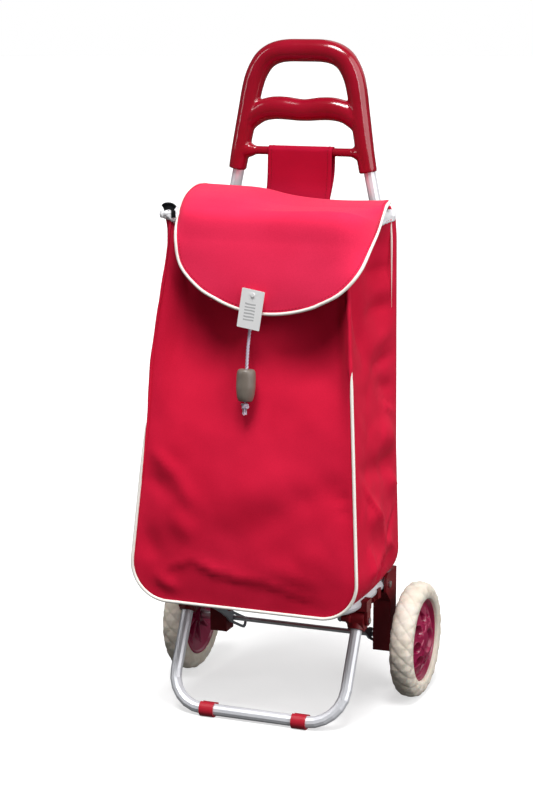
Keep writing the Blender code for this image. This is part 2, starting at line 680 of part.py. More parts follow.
def make_foot_socket(side, sign):
    """The sleeve on the top of a foot leg, round about its pivot, with a lug for the strut."""
    x = sign * FRAME_X
    pivot = (from_axle(FOOT_PIVOT_Y), FOOT_PIVOT_Z)
    lug = (from_axle(STRUT_PIN_Y), STRUT_PIN_Z)
    skirt_z = 0.1240
    sleeve = cylinder(f"foot_socket_{side}", (x, leg_y(skirt_z), skirt_z), (x, *pivot), 0.0117, 24)
    head_half = 0.0112
    head = cylinder(f"socket_head_{side}", (x - head_half, *pivot), (x + head_half, *pivot), 0.0134, 24)
    web_inner = FRAME_X - head_half
    web = plate(f"socket_web_{side}", [capsule(pivot, lug, 0.0052)], sign * (web_inner + 0.0025), 0.0050)
    boss = cylinder(f"socket_boss_{side}", (sign * (STRUT_X + STRUT_THICK / 2 + GAP), *lug),
                    (sign * (web_inner + 0.002), *lug), 0.0048, 16)
    for piece in (head, web, boss):
        join(sleeve, piece)
    bore_top = FOOT_LEG_TOP_Z + GAP
    bore = cylinder(f"socket_bore_{side}", (x, leg_y(0.100), 0.100), (x, leg_y(bore_top), bore_top),
                    TUBE_RADIUS + GAP, 24)
    pin_hole = cylinder(f"socket_pin_hole_{side}", (x - 0.02, *pivot), (x + 0.02, *pivot), PIN_HOLE, 14)
    strut_hole = cylinder(f"socket_strut_hole_{side}", (sign * (STRUT_X - 0.01), *lug),
                          (sign * (web_inner + 0.0040), *lug), PIN_HOLE, 14)
    for cutter in (bore, pin_hole, strut_hole):
        cut(sleeve, cutter)
    return place(sleeve, "bracket_plastic")


def make_strut_pin(side, sign):
    lug = (from_axle(STRUT_PIN_Y), STRUT_PIN_Z)
    web_inner = FRAME_X - 0.0112
    near = STRUT_X - STRUT_THICK / 2 - GAP
    pin = cylinder(f"strut_pin_{side}", (sign * (near - 0.0015), *lug), (sign * (web_inner + 0.0035), *lug),
                   PIN_RADIUS, 14)
    head = cylinder(f"strut_pin_{side}_head", (sign * (near - 0.0015), *lug), (sign * near, *lug), 0.0042, 16)
    join(pin, head)
    return place(pin, "bolt_steel")


def make_foot_clip(side, sign):
    """A snap-on rest under the foot bar, flat where it meets the floor."""
    x = sign * CLIP_X
    y = leg_y(FOOT_BAR_Z)
    half = 0.0100
    clip = cylinder(f"foot_clip_{side}", (x - half, y, FOOT_BAR_Z), (x + half, y, FOOT_BAR_Z), 0.0107, 32)
    lip = box(f"clip_lip_{side}", (x - half, y + 0.0065, FOOT_BAR_Z + 0.0035),
              (x + half, y + 0.0125, FOOT_BAR_Z + 0.0060))
    join(clip, lip)
    bar = cylinder(f"clip_bore_{side}", (x - 0.02, y, FOOT_BAR_Z), (x + 0.02, y, FOOT_BAR_Z),
                   TUBE_RADIUS + GAP, 32)
    mouth = box(f"clip_mouth_{side}", (x - 0.02, y - 0.0020, FOOT_BAR_Z + 0.0030), (x + 0.02, y + 0.0066, 0.03))
    floor_cut = box(f"clip_floor_cut_{side}", (x - 0.02, y - 0.02, -0.01), (x + 0.02, y + 0.02, 0.0))
    for cutter in (bar, mouth, floor_cut):
        cut(clip, cutter)
    return place(clip, "clip_plastic")


def make_strut(side, sign):
    """A flat strut from the foot's lug, whose slotted end runs over the axle as the trolley folds."""
    pin = Vector((from_axle(STRUT_PIN_Y), STRUT_PIN_Z))
    axle = Vector((AXLE_Y, AXLE_Z))
    along = (axle - pin).normalized()
    across = Vector((-along.y, along.x))
    reach = (axle - pin).length
    neck = reach - 0.010
    narrow = 0.0045
    wide = 0.0082
    arch = 0.0045
    stations = 12
    upper = []
    lower = []
    for index in range(stations + 1):
        distance = (neck - 0.014) * index / stations
        lift = arch * math.sin(math.pi * distance / (neck - 0.014))
        upper.append(pin + along * distance + across * (lift + narrow))
        lower.append(pin + along * distance + across * (lift - narrow))
    end = pin + along * (reach + STRUT_TRAVEL)
    tail = capsule(tuple(pin + along * neck), tuple(end), wide)
    rear_arc = [Vector(point) for point in tail[:8]]
    eye = [Vector(point) for point in circle(pin.x, pin.y, 0.0055)]
    nose = [point for point in eye if (point - pin).dot(along) < -0.001]
    nose.sort(key=lambda point: (point - pin).dot(across))
    outline = nose[::-1] + lower + [pin + along * neck - across * wide]
    outline += rear_arc + [pin + along * neck + across * wide] + upper[::-1]
    slot = capsule(tuple(axle - along * 0.0008), tuple(axle + along * STRUT_TRAVEL), 0.0049)
    holes = [slot, circle(pin.x, pin.y, PIN_HOLE)]
    return plate(f"strut_{side}", [[tuple(point) for point in outline], *holes], sign * STRUT_X, STRUT_THICK)


def make_folding_gear():
    base = body_empty("base_axis", (0.0, from_axle(BASE_PIVOT_Y), BASE_Z))
    foot = body_empty("foot_axis", (0.0, from_axle(FOOT_PIVOT_Y), FOOT_PIVOT_Z))
    hang_on(base, make_base_tube(), make_base_board())
    hang_on(foot, make_foot_tube())
    for side, sign in SIDES:
        make_base_bolt(side, sign)
        hang_on(base, make_front_saddle(side, sign), make_tube_hook(side, sign), make_foot_pin(side, sign))
        hang_on(foot, make_foot_socket(side, sign), make_strut_pin(side, sign), make_foot_clip(side, sign))
        axis = body_empty(f"strut_{side}_axis", (sign * STRUT_X, from_axle(STRUT_PIN_Y), STRUT_PIN_Z))
        hang_on(axis, place(make_strut(side, sign), "strut_steel"))


# ---------------------------------------------------------------- bag
def front_y(z):
    """The outer face of the bag's front, from the axle."""
    return BAG_FRONT_Y + BAG_FRONT_RISE * max(0.0, z - BAG_FULL_Z)


def front_half(z):
    return BAG_FRONT_HALF - BAG_FRONT_TAPER * max(0.0, z - BAG_FULL_Z)


def rear_half(z):
    return BAG_REAR_HALF - BAG_REAR_TAPER * max(0.0, z - BAG_FULL_Z)


def back_half(z):
    """The back panel narrows near its top, to let the mouth's hoop pass beside it."""
    return rear_half(z) - 0.40 * max(0.0, z - 0.642)


def corner_inset(z):
    """How far the rounded bottom corners pull the bag's side in at a height."""
    rise = z - BAG_BOTTOM_Z
    if rise >= BAG_CORNER:
        return 0.0
    return BAG_CORNER - math.sqrt(BAG_CORNER ** 2 - (BAG_CORNER - rise) ** 2)


def panel_heights(top):
    low = [BAG_BOTTOM_Z + BAG_CORNER * (1 - math.cos(math.radians(angle))) for angle in CORNER_ANGLES]
    rest = [low[-1] + (top - low[-1]) * step / 7 for step in range(1, 8)]
    return low + rest


def flat_panel(name, half_at, y_at, top, material):
    """The bag's front or back: a sheet with rounded bottom corners."""
    rows = []
    for z in panel_heights(top):
        half = half_at(z) - corner_inset(z)
        rows.append([(half * (-1 + step / 4), from_axle(y_at(z)), z) for step in range(9)])
    return place(fabric_panel(name, rows), material)


def seam_line(half_at, y_at, top, inset):
    """Points down one side seam of a panel and round its corner, moved inward by inset."""
    line = []
    for step in range(8):
        z = top + (BAG_BOTTOM_Z + BAG_CORNER - top) * step / 7
        line.append((half_at(z) - inset, y_at(z), z))
    half = half_at(BAG_BOTTOM_Z + BAG_CORNER)
    for angle in CORNER_ANGLES[1:]:
        turn = math.radians(angle)
        x = half - BAG_CORNER + (BAG_CORNER - inset) * math.cos(turn)
        z = BAG_BOTTOM_Z + BAG_CORNER - (BAG_CORNER - inset) * math.sin(turn)
        line.append((x, y_at(z), z))
    return line


def make_gusset():
    """The bag's two sides, each turning under round its bottom corner, and the floor between them."""
    inset = FABRIC / 2
    front = seam_line(front_half, lambda z: front_y(z) + FABRIC + GAP, BAG_TOP_Z, inset)
    rear = seam_line(rear_half, lambda z: BAG_REAR_Y - FABRIC - GAP, BAG_TOP_Z, inset)
    for side, sign in SIDES:
        rows = []
        for (fx, fy, fz), (rx, ry, rz) in zip(front, rear):
            rows.append([(sign * (fx + (rx - fx) * t / 3), from_axle(fy + (ry - fy) * t / 3), fz + (rz - fz) * t / 3)
                         for t in range(4)])
        place(fabric_panel(f"bag_side_{side}", rows), "bag_fabric")
    seam = GAP
    front_edge = front[-1]
    rear_edge = rear[-1]
    rows = []
    for step in range(7):
        u = -1 + step / 3
        rows.append([(u * (front_edge[0] - seam), from_axle(front_edge[1]), front_edge[2]),
                     (u * (rear_edge[0] - seam), from_axle(rear_edge[1]), rear_edge[2])])
    place(fabric_panel("bag_floor", rows), "bag_fabric")


def make_base_board():
    """The stiff board on the bag's floor, which the base carries up with it as it folds."""
    low_y = from_axle(front_y(BAG_BOTTOM_Z) + 0.012)
    high_y = from_axle(BAG_REAR_Y - 0.010)
    low_z = BAG_BOTTOM_Z + FABRIC + GAP
    return place(box("base_board", (-0.098, low_y, low_z), (0.098, high_y, low_z + 0.003)), "board_plastic")


def edge_route(half_at, y_at, top):
    """The piping's path down one side, round both corners and up the other side."""
    right = seam_line(half_at, y_at, top, -(PIPING_RADIUS + 2 * GAP))
    route = [(-x, from_axle(y), z) for x, y, z in right]
    return route + [(x, y, z) for x, y, z in ((-x, y, z) for x, y, z in reversed(route))]


def make_piping():
    front = edge_route(front_half, lambda z: front_y(z) + FABRIC / 2, BAG_TOP_Z)
    place(sweep("front_piping", front, PIPING_RADIUS, resolution=1), "piping_white")


def make_mouth():
    """The wire hoop that holds the bag's mouth open, its clamps on the uprights, and the lining's edge."""
    hoop_z = BAG_TOP_Z + FABRIC / 2 + HOOP_RADIUS + GAP
    front = from_axle(front_y(hoop_z) + 0.0045)
    rear = from_axle(BAG_REAR_Y - 0.004)
    clamp_y = AXLE_Y - TUBE_RADIUS - 0.006
    x_clamp = lean_x(hoop_z)
    half = front_half(hoop_z) - 0.002
    half_rear = rear_half(hoop_z) - 0.002
    points = fillet([(-x_clamp, clamp_y, hoop_z), (-half_rear, rear + 0.006, hoop_z), (-half, front, hoop_z),
                     (half, front, hoop_z), (half_rear, rear + 0.006, hoop_z), (x_clamp, clamp_y, hoop_z)],
                    0.011, steps=4)
    place(sweep("mouth_hoop", points, HOOP_RADIUS, resolution=1), "strut_steel")
    make_mouth_loop()
    make_lining()
    for side, sign in SIDES:
        x = sign * x_clamp
        clamp = box(f"hoop_clamp_{side}", (x - 0.0110, clamp_y - 0.0050, hoop_z - 0.008),
                    (x + 0.0110, AXLE_Y + 0.0100, hoop_z + 0.008))
        tube = cylinder(f"clamp_tube_{side}", (sign * lean_x(0.62), AXLE_Y, 0.62), (sign * lean_x(0.73), AXLE_Y, 0.73),
                        TUBE_RADIUS + GAP, 24)
        groove_low, groove_high = sorted((x - sign * 0.0040, x + sign * 0.0200))
        groove = box(f"clamp_groove_{side}", (groove_low, clamp_y - 0.0120, hoop_z - 0.0032),
                     (groove_high, clamp_y + 0.0035, hoop_z + 0.0032))
        cut(clamp, tube)
        cut(clamp, groove)
        place(clamp, "webbing_black")


def make_bag():
    flat_panel("bag_front", front_half, lambda z: front_y(z) + FABRIC / 2, BAG_TOP_Z, "bag_fabric")
    flat_panel("bag_back", back_half, lambda z: BAG_REAR_Y - FABRIC / 2, BAG_REAR_TOP_Z, "bag_fabric")
    make_gusset()
    make_piping()
    make_mouth()


# ---------------------------------------------------------------- flap, strap, tag and cord
FLAP_ROWS = (
    # centre y and z, left edge, right edge, and how sharply the flap turns down at its edges;
    # it falls over the mouth and down the front,
    # and hangs further over the bag's right side than over its left
    (-0.0300, 0.6970, (-0.1360, -0.0300, 0.7010), (0.1340, -0.0300, 0.6985), 13),
    (-0.0750, 0.6975, (-0.1340, -0.0750, 0.6960), (0.1400, -0.0550, 0.6900), 13),
    (-0.1200, 0.6960, (-0.1205, -0.1180, 0.6940), (0.1450, -0.0850, 0.6800), 13),
    (-0.1580, 0.6910, (-0.1090, -0.1570, 0.6890), (0.1460, -0.1040, 0.6640), 13),
    (-0.1870, 0.6790, (-0.1060, -0.1850, 0.6775), (0.1460, -0.1260, 0.6450), 13),
    (-0.1960, 0.6450, (-0.1045, -0.1935, 0.6450), (0.1450, -0.1520, 0.6270), 9),
    (-0.2010, 0.6150, (-0.0930, -0.1990, 0.6100), (0.1405, -0.1850, 0.6090), 5),
    (-0.2045, 0.5850, (-0.0680, -0.2030, 0.5860), (0.1220, -0.2000, 0.5870), 3),
    (-0.2065, 0.5575, (-0.0400, -0.2050, 0.5715), (0.0900, -0.2045, 0.5695), 2),
)
FLAP_COLUMNS = (-1.0, -0.7, -0.35, 0.0, 0.35, 0.6, 0.76, 0.86, 0.92, 0.965, 1.0)


def flap_point(row, across):
    """A point of the flap: across runs from -1 at its left edge to 1 at its right edge."""
    centre_y, centre_z, left, right, sharpness = row
    edge = right if across > 0 else left
    centre_x = (left[0] + right[0]) / 2
    bend = abs(across) ** sharpness
    return (centre_x + (edge[0] - centre_x) * abs(across), from_axle(centre_y + (edge[1] - centre_y) * bend),
            centre_z + (edge[2] - centre_z) * bend)


def make_flap():
    rows = [[flap_point(row, across) for across in FLAP_COLUMNS] for row in FLAP_ROWS]
    flap = place(fabric_panel("flap", rows, FLAP_THICK), "flap_fabric")
    border = [Vector(row[0]) for row in rows] + [Vector(point) for point in rows[-1][1:-1]]
    border += [Vector(row[-1]) for row in reversed(rows)]
    inner = [Vector(row[1]) for row in rows] + [Vector(point) for point in rows[-2][1:-1]]
    inner += [Vector(row[-2]) for row in reversed(rows)]
    route = []
    for index, (point, inside) in enumerate(zip(border, inner)):
        tangent = (border[min(index + 1, len(border) - 1)] - border[max(index - 1, 0)]).normalized()
        outward = point - inside
        outward = (outward - tangent * outward.dot(tangent)).normalized()
        route.append(point + outward * PIPING_OUT)
    piping = place(sweep("flap_piping", route, PIPING_RADIUS, resolution=1), "piping_white")
    return flap, piping


def make_strap():
    """The broad fabric strap that hangs the bag from the crossbar, in one loop."""
    wrap = CROSSBAR_RADIUS + 0.0018
    bottom_z = 0.690
    loop = [(-0.0125, bottom_z), (-0.0100, 0.715)]
    loop += [(-wrap * math.cos(math.radians(angle)), CROSSBAR_Z + wrap * math.sin(math.radians(angle)))
             for angle in (0, 30, 60, 90, 120, 150, 180)]
    loop += [(0.0040, 0.715), (0.0005, bottom_z)]
    rows = [[(x, from_axle(y), z) for x in (-0.049, -0.018, 0.013, 0.043)] for y, z in loop]
    return place(fabric_panel("hanging_strap", rows, 0.0018), "bag_fabric")


def make_mouth_loop():
    """A black webbing band over the hoop at the left corner of the mouth."""
    hoop_z = BAG_TOP_Z + FABRIC / 2 + HOOP_RADIUS + GAP
    y = front_y(hoop_z) + 0.0045
    turn_radius = HOOP_RADIUS + 0.0022
    path = [(y - turn_radius - 0.0035, 0.6560), (y - turn_radius - 0.0010, hoop_z - 0.004)]
    path += [(y - turn_radius * math.cos(math.radians(angle)), hoop_z + turn_radius * math.sin(math.radians(angle)))
             for angle in (0, 45, 90, 135, 180)]
    rows = [[(x, from_axle(py), pz) for x in (-0.1080, -0.0940)] for py, pz in path]
    return place(fabric_panel("mouth_loop", rows, 0.0014), "webbing_black")


def make_lining():
    """The pale lining's edge, which stands a little above the mouth inside the hoop."""
    front = from_axle(front_y(0.66) + 0.0130)
    rear = from_axle(BAG_REAR_Y - 0.0080)
    half = front_half(0.66) - 0.0110
    half_rear = rear_half(0.66) - 0.0110
    line = fillet([(-half_rear, rear, 0), (-half, front, 0), (half, front, 0), (half_rear, rear, 0)], 0.010, steps=4)
    rows = [[(point.x, point.y, z) for point in line] for z in (0.6420, 0.6600, 0.6775)]
    return place(fabric_panel("mouth_lining", rows, 0.0012), "lining_fabric")


def make_tag():
    """A blank swing tag on a plastic fastener that is pushed through the flap."""
    hole = Vector((TAG_HOLE[0], from_axle(TAG_HOLE[1]), TAG_HOLE[2]))
    drop = 0.0190
    card = box("tag", (-TAG_WIDTH / 2, -TAG_THICK / 2, -drop - TAG_HEIGHT / 2),
               (TAG_WIDTH / 2, TAG_THICK / 2, -drop + TAG_HEIGHT / 2))
    punch = cylinder("tag_punch", (0, -0.01, 0), (0, 0.01, 0), 0.0018, 14)
    turn = Matrix.Translation(hole) @ Matrix.Rotation(TAG_TILT, 4, "Y")
    card.data.transform(turn)
    punch.data.transform(turn)
    cut(card, punch)
    place(card, "tag_card")
    pin = cylinder("tag_fastener", hole + Vector((0, -0.0014, 0)), hole + Vector((0, 0.0040, 0)), 0.0008, 10)
    head = cylinder("tag_fastener_head", hole + Vector((0, -0.0018, 0)), hole + Vector((0, -0.0008, 0)), 0.0026, 12)
    join(pin, head)
    place(pin, "tag_card")
    return card, pin


CORD_ROUTE = (
    # from the eyelet in the bag's front, down under the flap, and straight through the bead
    (0.0060, -0.1875, 0.6200), (0.0060, -0.1900, 0.6185), (0.0058, -0.1925, 0.6130), (0.0055, -0.1935, 0.6050),
    (0.0050, -0.1945, 0.5900), (0.0040, -0.1962, 0.5700), (0.0032, -0.1995, 0.5500), (0.0024, -0.2035, 0.5320),
    (0.0018, -0.2062, 0.5180), (0.0014, -0.2080, 0.5070), (0.0009, -0.2116, 0.4740), (0.0004, -0.21495, 0.4425),
)


def make_cord():
    """The closing cord of the bag's mouth, with its eyelet, its sliding bead and the knot at its end."""
    route = [(x, from_axle(y), z) for x, y, z in CORD_ROUTE]
    place(sweep("drawcord", smooth_route(route, 22), CORD_RADIUS, resolution=2), "cord_braid")

    face = Vector((0.0060, from_axle(front_y(0.620)), 0.620))
    outward = Vector((0.0, -1.0, BAG_FRONT_RISE)).normalized()
    eyelet = cylinder("cord_eyelet", face + outward * 2 * GAP, face + outward * 0.0022, 0.0065, 20)
    place(eyelet, "bolt_steel")

    centre = Vector((BEAD_CENTRE[0], from_axle(BEAD_CENTRE[1]), BEAD_CENTRE[2]))
    top = BEAD_HEIGHT / 2
    bore = CORD_RADIUS + 0.0006
    profile = [(0.0090, top), (BEAD_RADIUS - 0.0012, top - 0.0040), (BEAD_RADIUS, top - 0.0130),
               (BEAD_RADIUS, -top + 0.0150), (BEAD_RADIUS - 0.0015, -top + 0.0070), (0.0080, -top),
               (bore, -top), (bore, top)]
    bead = turned("toggle_bead", profile, centre, 16, axis="Z")
    bead.rotation_euler = (-math.atan(CORD_SLANT), 0.0, 0.0)
    place(bead, "bead_plastic")

    end = Vector((CORD_ROUTE[-1][0], from_axle(CORD_ROUTE[-1][1]), CORD_ROUTE[-1][2]))
    bm = bmesh.new()
    bmesh.ops.create_uvsphere(bm, u_segments=14, v_segments=9, radius=0.0052)
    knot = mesh_object("cord_knot", bm)
    knot.location = end + Vector((0.0, -0.0006, -0.0058))
    tassel = cylinder("cord_tassel", end + Vector((0, -0.0008, -0.008)), end + Vector((0, -0.0015, -0.0145)),
                      0.0036, 10)
    join(knot, tassel)
    place(knot, "cord_braid")
    return bead


def make_soft_goods():
    make_bag()
    make_strap()
    hinge = body_empty("flap_axis", (0.0, from_axle(FLAP_HINGE_Y), FLAP_HINGE_Z))
    flap, piping = make_flap()
    card, fastener = make_tag()
    hang_on(hinge, flap, piping, fastener)
    hang_on(body_empty("tag_axis", (TAG_HOLE[0], from_axle(TAG_HOLE[1]), TAG_HOLE[2])), card)
    bead = make_cord()
    hang_on(body_empty("toggle_axis", (BEAD_CENTRE[0], from_axle(BEAD_CENTRE[1]), BEAD_CENTRE[2])), bead)


# ---------------------------------------------------------------- build
for old in list(bpy.data.objects):
    bpy.data.objects.remove(old)
bpy.context.scene.collection.children.link(PARTS)
bpy.context.scene.collection.children.link(CUTTERS)
MATERIALS = make_materials()

make_handle()
for side_name, side_sign in SIDES:
    make_upright(side_name, side_sign)
    make_handle_screw(side_name, side_sign)
make_rolling_gear()
make_folding_gear()
make_soft_goods()
bpy.context.view_layer.update()
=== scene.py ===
"""Looks for the two-wheeled shopping trolley: sewn bag and flap, cord, foam tyres, moulded parts and paint.

Metres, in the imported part's frame: +Z up, -Y to the front, the floor at Z = 0.
"""
import math

import bmesh
import bpy
import numpy as np
from mathutils import Matrix, Vector, noise


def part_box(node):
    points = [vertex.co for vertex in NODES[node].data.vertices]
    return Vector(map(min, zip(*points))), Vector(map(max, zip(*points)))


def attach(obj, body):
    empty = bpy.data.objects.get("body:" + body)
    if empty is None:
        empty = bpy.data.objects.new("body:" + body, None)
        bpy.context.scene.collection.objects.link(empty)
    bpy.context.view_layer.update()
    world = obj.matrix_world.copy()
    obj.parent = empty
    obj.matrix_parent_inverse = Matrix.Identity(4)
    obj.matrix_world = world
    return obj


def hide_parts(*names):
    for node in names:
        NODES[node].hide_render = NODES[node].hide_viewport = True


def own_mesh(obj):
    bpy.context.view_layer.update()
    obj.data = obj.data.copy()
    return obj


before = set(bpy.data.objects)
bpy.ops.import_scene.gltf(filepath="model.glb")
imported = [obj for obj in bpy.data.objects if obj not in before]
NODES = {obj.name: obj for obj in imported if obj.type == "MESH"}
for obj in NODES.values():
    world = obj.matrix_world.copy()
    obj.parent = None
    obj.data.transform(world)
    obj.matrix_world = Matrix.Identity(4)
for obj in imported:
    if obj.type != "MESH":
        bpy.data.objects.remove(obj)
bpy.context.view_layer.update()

# ---------------------------------------------------------------- driving dimensions
CAMERA_PLACE = (0.9511, -2.5031, 0.9541)
CAMERA_TURN = (math.radians(78.70), 0.0, math.radians(21.31))
CAMERA_LENS = 91.03

AXLE_LOW, AXLE_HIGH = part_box("axle")
AXLE_Y = (AXLE_LOW.y + AXLE_HIGH.y) / 2
AXLE_Z = (AXLE_LOW.z + AXLE_HIGH.z) / 2
WHEEL_X = 0.168
SIDES = (("left", -1), ("right", 1))

BAG_BOTTOM_Z = 0.170
BAG_TOP_Z = 0.668
BAG_REAR_TOP_Z = 0.692
BAG_FULL_Z = 0.220            # below this height the bag stops widening
BAG_FRONT_Y = -0.2245         # the bag's depths are measured from the axle
BAG_FRONT_RISE = 0.110
BAG_FRONT_HALF = 0.1555
BAG_FRONT_TAPER = 0.0733
BAG_REAR_Y = -0.034
BAG_REAR_HALF = 0.151
BAG_REAR_TAPER = 0.035
BAG_CORNER = 0.048
BAG_THICKNESS = 0.0012
FOLD_DEPTH = 1.35             # how much deeper the folds and creases are than their own heights say
CREASE_DEPTH = 0.55
FRONT_BELLY = 0.0100          # the filled front's bulge, and the hollow below the flap
FRONT_BELLY_Z = 0.310
FRONT_SAG = 0.0250
FRONT_SAG_Z = 0.512
FRONT_REACH = 0.16
LEFT_SIDE_SHARE = 0.72        # how strong the left side's folds are against the right side's
LEFT_SIDE_SHIFT = 0.021       # and how far they differ in height
MOUTH_BULGE = 0.014
PIPING_RADIUS = 0.0022
PIPING_TOP_RIGHT = 0.515      # the front piping shows below these heights
PIPING_TOP_LEFT = 0.400
REAR_PIPING_RADIUS = 0.0014
REAR_PIPING_LOW_Z = 0.545
REAR_PIPING_AT = 0.885        # its place between the front seam and the back seam
HOOP_Z = 0.6720

CROSSBAR_Z = 0.748
CROSSBAR_RADIUS = 0.005
HANDLE_FOOT_Z = 0.722
HANDLE_TOP_Z = 0.882
GRIP_Z = 0.803
FRAME_X = 0.1225
UPRIGHT_BEND_Z = 0.588
UPRIGHT_LEAN = 0.2105
HANDLE_BACK = 0.011
HANDLE_SHIFT = -0.002
HANDLE_SKIN = 0.0014          # the size of the faces of its moulded skin
HANDLE_LEG = (
    # half width and height of the loop's middle line, from its foot to the middle of its top
    (0.0943, 0.722), (0.0872, 0.762), (0.0805, 0.800), (0.0752, 0.830), (0.0694, 0.850), (0.0602, 0.8662),
    (0.0500, 0.875), (0.0380, 0.8798), (0.0230, 0.882), (0.0, 0.8822),
)

CORD_RADIUS = 0.00225
STRAND_RADIUS = 0.00122
CORD_TWIST = 0.0085           # length of one full turn of the two strands
BEAD_HALF = 0.0207
BEAD_LEAN = math.atan(0.107)
CORD_ROUTE = (
    # the cord's middle line from its eyelet to its knot, its depth measured from the axle
    (0.0060, -0.1875, 0.6200), (0.0060, -0.1900, 0.6185), (0.0058, -0.1925, 0.6130),
    (0.0055, -0.1935, 0.6050), (0.0050, -0.1945, 0.5900), (0.0040, -0.1962, 0.5700),
    (0.0032, -0.1995, 0.5500), (0.0024, -0.2035, 0.5320), (0.0018, -0.2062, 0.5180),
    (0.0014, -0.2080, 0.5070), (0.0009, -0.2116, 0.4740), (0.0004, -0.21495, 0.4425),
)

STRAP_LEFT = -0.0490
STRAP_RIGHT = 0.0430

TAG_WIDTH, TAG_HEIGHT, TAG_THICKNESS = 0.031, 0.051, 0.0007
TAG_ABOVE_HOLE = 0.0065
TAG_CORNER = 0.0012
TAG_HOLE_RADIUS = 0.0017
TAG_TILT = math.radians(9.0)
TAG_PRINT = ((0.0070, 0.0215), (0.0180, 0.0420))    # the printed block, across the card and down it
TAG_STRIPE_PITCH = 0.0042

TYRE_RADIUS_MOST = 0.0801
TREAD_LOZENGES = 22
TREAD_SLANT = 1.5             # lozenges passed in turning while a groove crosses half the tread
RIM_HOLES = 9
RIM_RIBS = 9
RIM_TURN = 0.30               # angle of the first hole
HOLE_RADIUS = 0.0345          # distance of the holes from the axle
HOLE_DEPTH = 0.0115

CURVE_STEPS = 16              # points between two given points of a smooth curve
STITCH_SIDES = 6
WELD = 0.0001
NOISE_SEED = 5                # keeps the crumples of the lining the same each time
WAVE_TURNS = 20               # the wave texture's own turns for each unit of its scale


def from_axle(y):
    return AXLE_Y + y


# ---------------------------------------------------------------- mesh helpers
def link(obj):
    bpy.context.scene.collection.objects.link(obj)
    return obj


def mesh_piece(name, points, faces, uvs=None):
    """A smooth-shaded mesh object; uvs are given per vertex, in metres."""
    mesh = bpy.data.meshes.new(name)
    mesh.from_pydata([tuple(point) for point in points], [], faces)
    if uvs is not None:
        layer = mesh.uv_layers.new(name="metres")
        corners = np.empty(len(mesh.loops), dtype=np.int64)
        mesh.loops.foreach_get("vertex_index", corners)
        layer.data.foreach_set("uv", np.asarray(uvs, dtype=np.float32)[corners].ravel())
    mesh.shade_smooth()
    return link(bpy.data.objects.new(name, mesh))


def grid_faces(rows, columns, wrap=False, close=False, first=0):
    """Quads over a grid; wrap joins the last column to the first, close the last row to the first."""
    faces = []
    for row in range(rows if close else rows - 1):
        here = first + row * columns
        after = first + (row + 1) % rows * columns
        for column in range(columns if wrap else columns - 1):
            beside = (column + 1) % columns
            faces.append((here + column, here + beside, after + beside, after + column))
    return faces


def tube_faces(rings, sides, first=0):
    """The faces of a row of rings, with both ends closed."""
    faces = grid_faces(rings, sides, wrap=True, first=first)
    faces.append(tuple(range(first, first + sides)))
    faces.append(tuple(range(first + (rings - 1) * sides, first + rings * sides))[::-1])
    return [face[::-1] for face in faces]


def grid_uvs(points):
    """Distances along the rows and columns of a grid of points."""
    points = np.asarray(points, float)
    along = np.linalg.norm(np.diff(points, axis=0), axis=2)
    across = np.linalg.norm(np.diff(points, axis=1), axis=2)
    v = np.vstack([np.zeros((1, points.shape[1])), np.cumsum(along, axis=0)])
    u = np.hstack([np.zeros((points.shape[0], 1)), np.cumsum(across, axis=1)])
    return np.stack([u, v], axis=2).reshape(-1, 2)


def grid_piece(name, points, flip=False):
    points = np.asarray(points, float)
    rows, columns = points.shape[:2]
    faces = grid_faces(rows, columns)
    if flip:
        faces = [face[::-1] for face in faces]
    return mesh_piece(name, points.reshape(-1, 3), faces, grid_uvs(points))


def ramp(value, start, length):
    """0 up to start, then 1 from start + length; a negative length falls away instead."""
    return np.clip((value - start) / length, 0.0, 1.0)


def hump(value, middle, spread):
    """A smooth rise to 1 at the middle."""
    return np.exp(-((value - middle) / spread) ** 2)


def unit(vectors):
    return vectors / np.linalg.norm(vectors, axis=-1, keepdims=True)


def run_lengths(points):
    """Distance along a line of points, from its start to each point."""
    return np.concatenate([[0.0], np.cumsum(np.linalg.norm(np.diff(points, axis=0), axis=1))])


def between(wanted, places, values):
    """The rows of values at the wanted places."""
    return np.stack([np.interp(wanted, places, column) for column in values.T], axis=1)


def catmull_rom(a, b, c, d, t):
    """A smooth step from b to c, with a before them and d after."""
    bend = 2 * a - 5 * b + 4 * c - d
    twist = 3 * b - a - 3 * c + d
    return 0.5 * (2 * b + (c - a) * t + bend * t * t + twist * t ** 3)


def with_ends(points):
    """The points with one more beyond each end, straight on."""
    return np.vstack([2 * points[0] - points[1], points, 2 * points[-1] - points[-2]])


def smooth_line(points, count):
    """A smooth curve through points in the plane or in space, sampled evenly by length."""
    points = np.asarray(points, float)
    padded = with_ends(points)
    fine = []
    for index in range(len(points) - 1):
        for t in np.arange(CURVE_STEPS) / CURVE_STEPS:
            fine.append(catmull_rom(*padded[index:index + 4], t))
    fine = np.array(fine + [points[-1]])
    lengths = run_lengths(fine)
    return between(np.linspace(0.0, lengths[-1], count), lengths, fine)


def frames_along(route):
    """A tangent and two steady cross directions at each point of a route."""
    route = np.asarray(route, float)
    tangents = unit(np.gradient(route, axis=0))
    side = np.cross(tangents[0], (0.0, 0.0, 1.0))
    if np.linalg.norm(side) < 0.1:
        side = np.cross(tangents[0], (0.0, 1.0, 0.0))
    firsts = []
    for tangent in tangents:
        side = unit(side - tangent * np.dot(side, tangent))
        firsts.append(side)
    firsts = np.array(firsts)
    return tangents, firsts, np.cross(tangents, firsts)


def full_turn(steps):
    """Angles evenly round a circle, without the last that would repeat the first."""
    return np.linspace(0.0, 2 * math.pi, steps, endpoint=False)


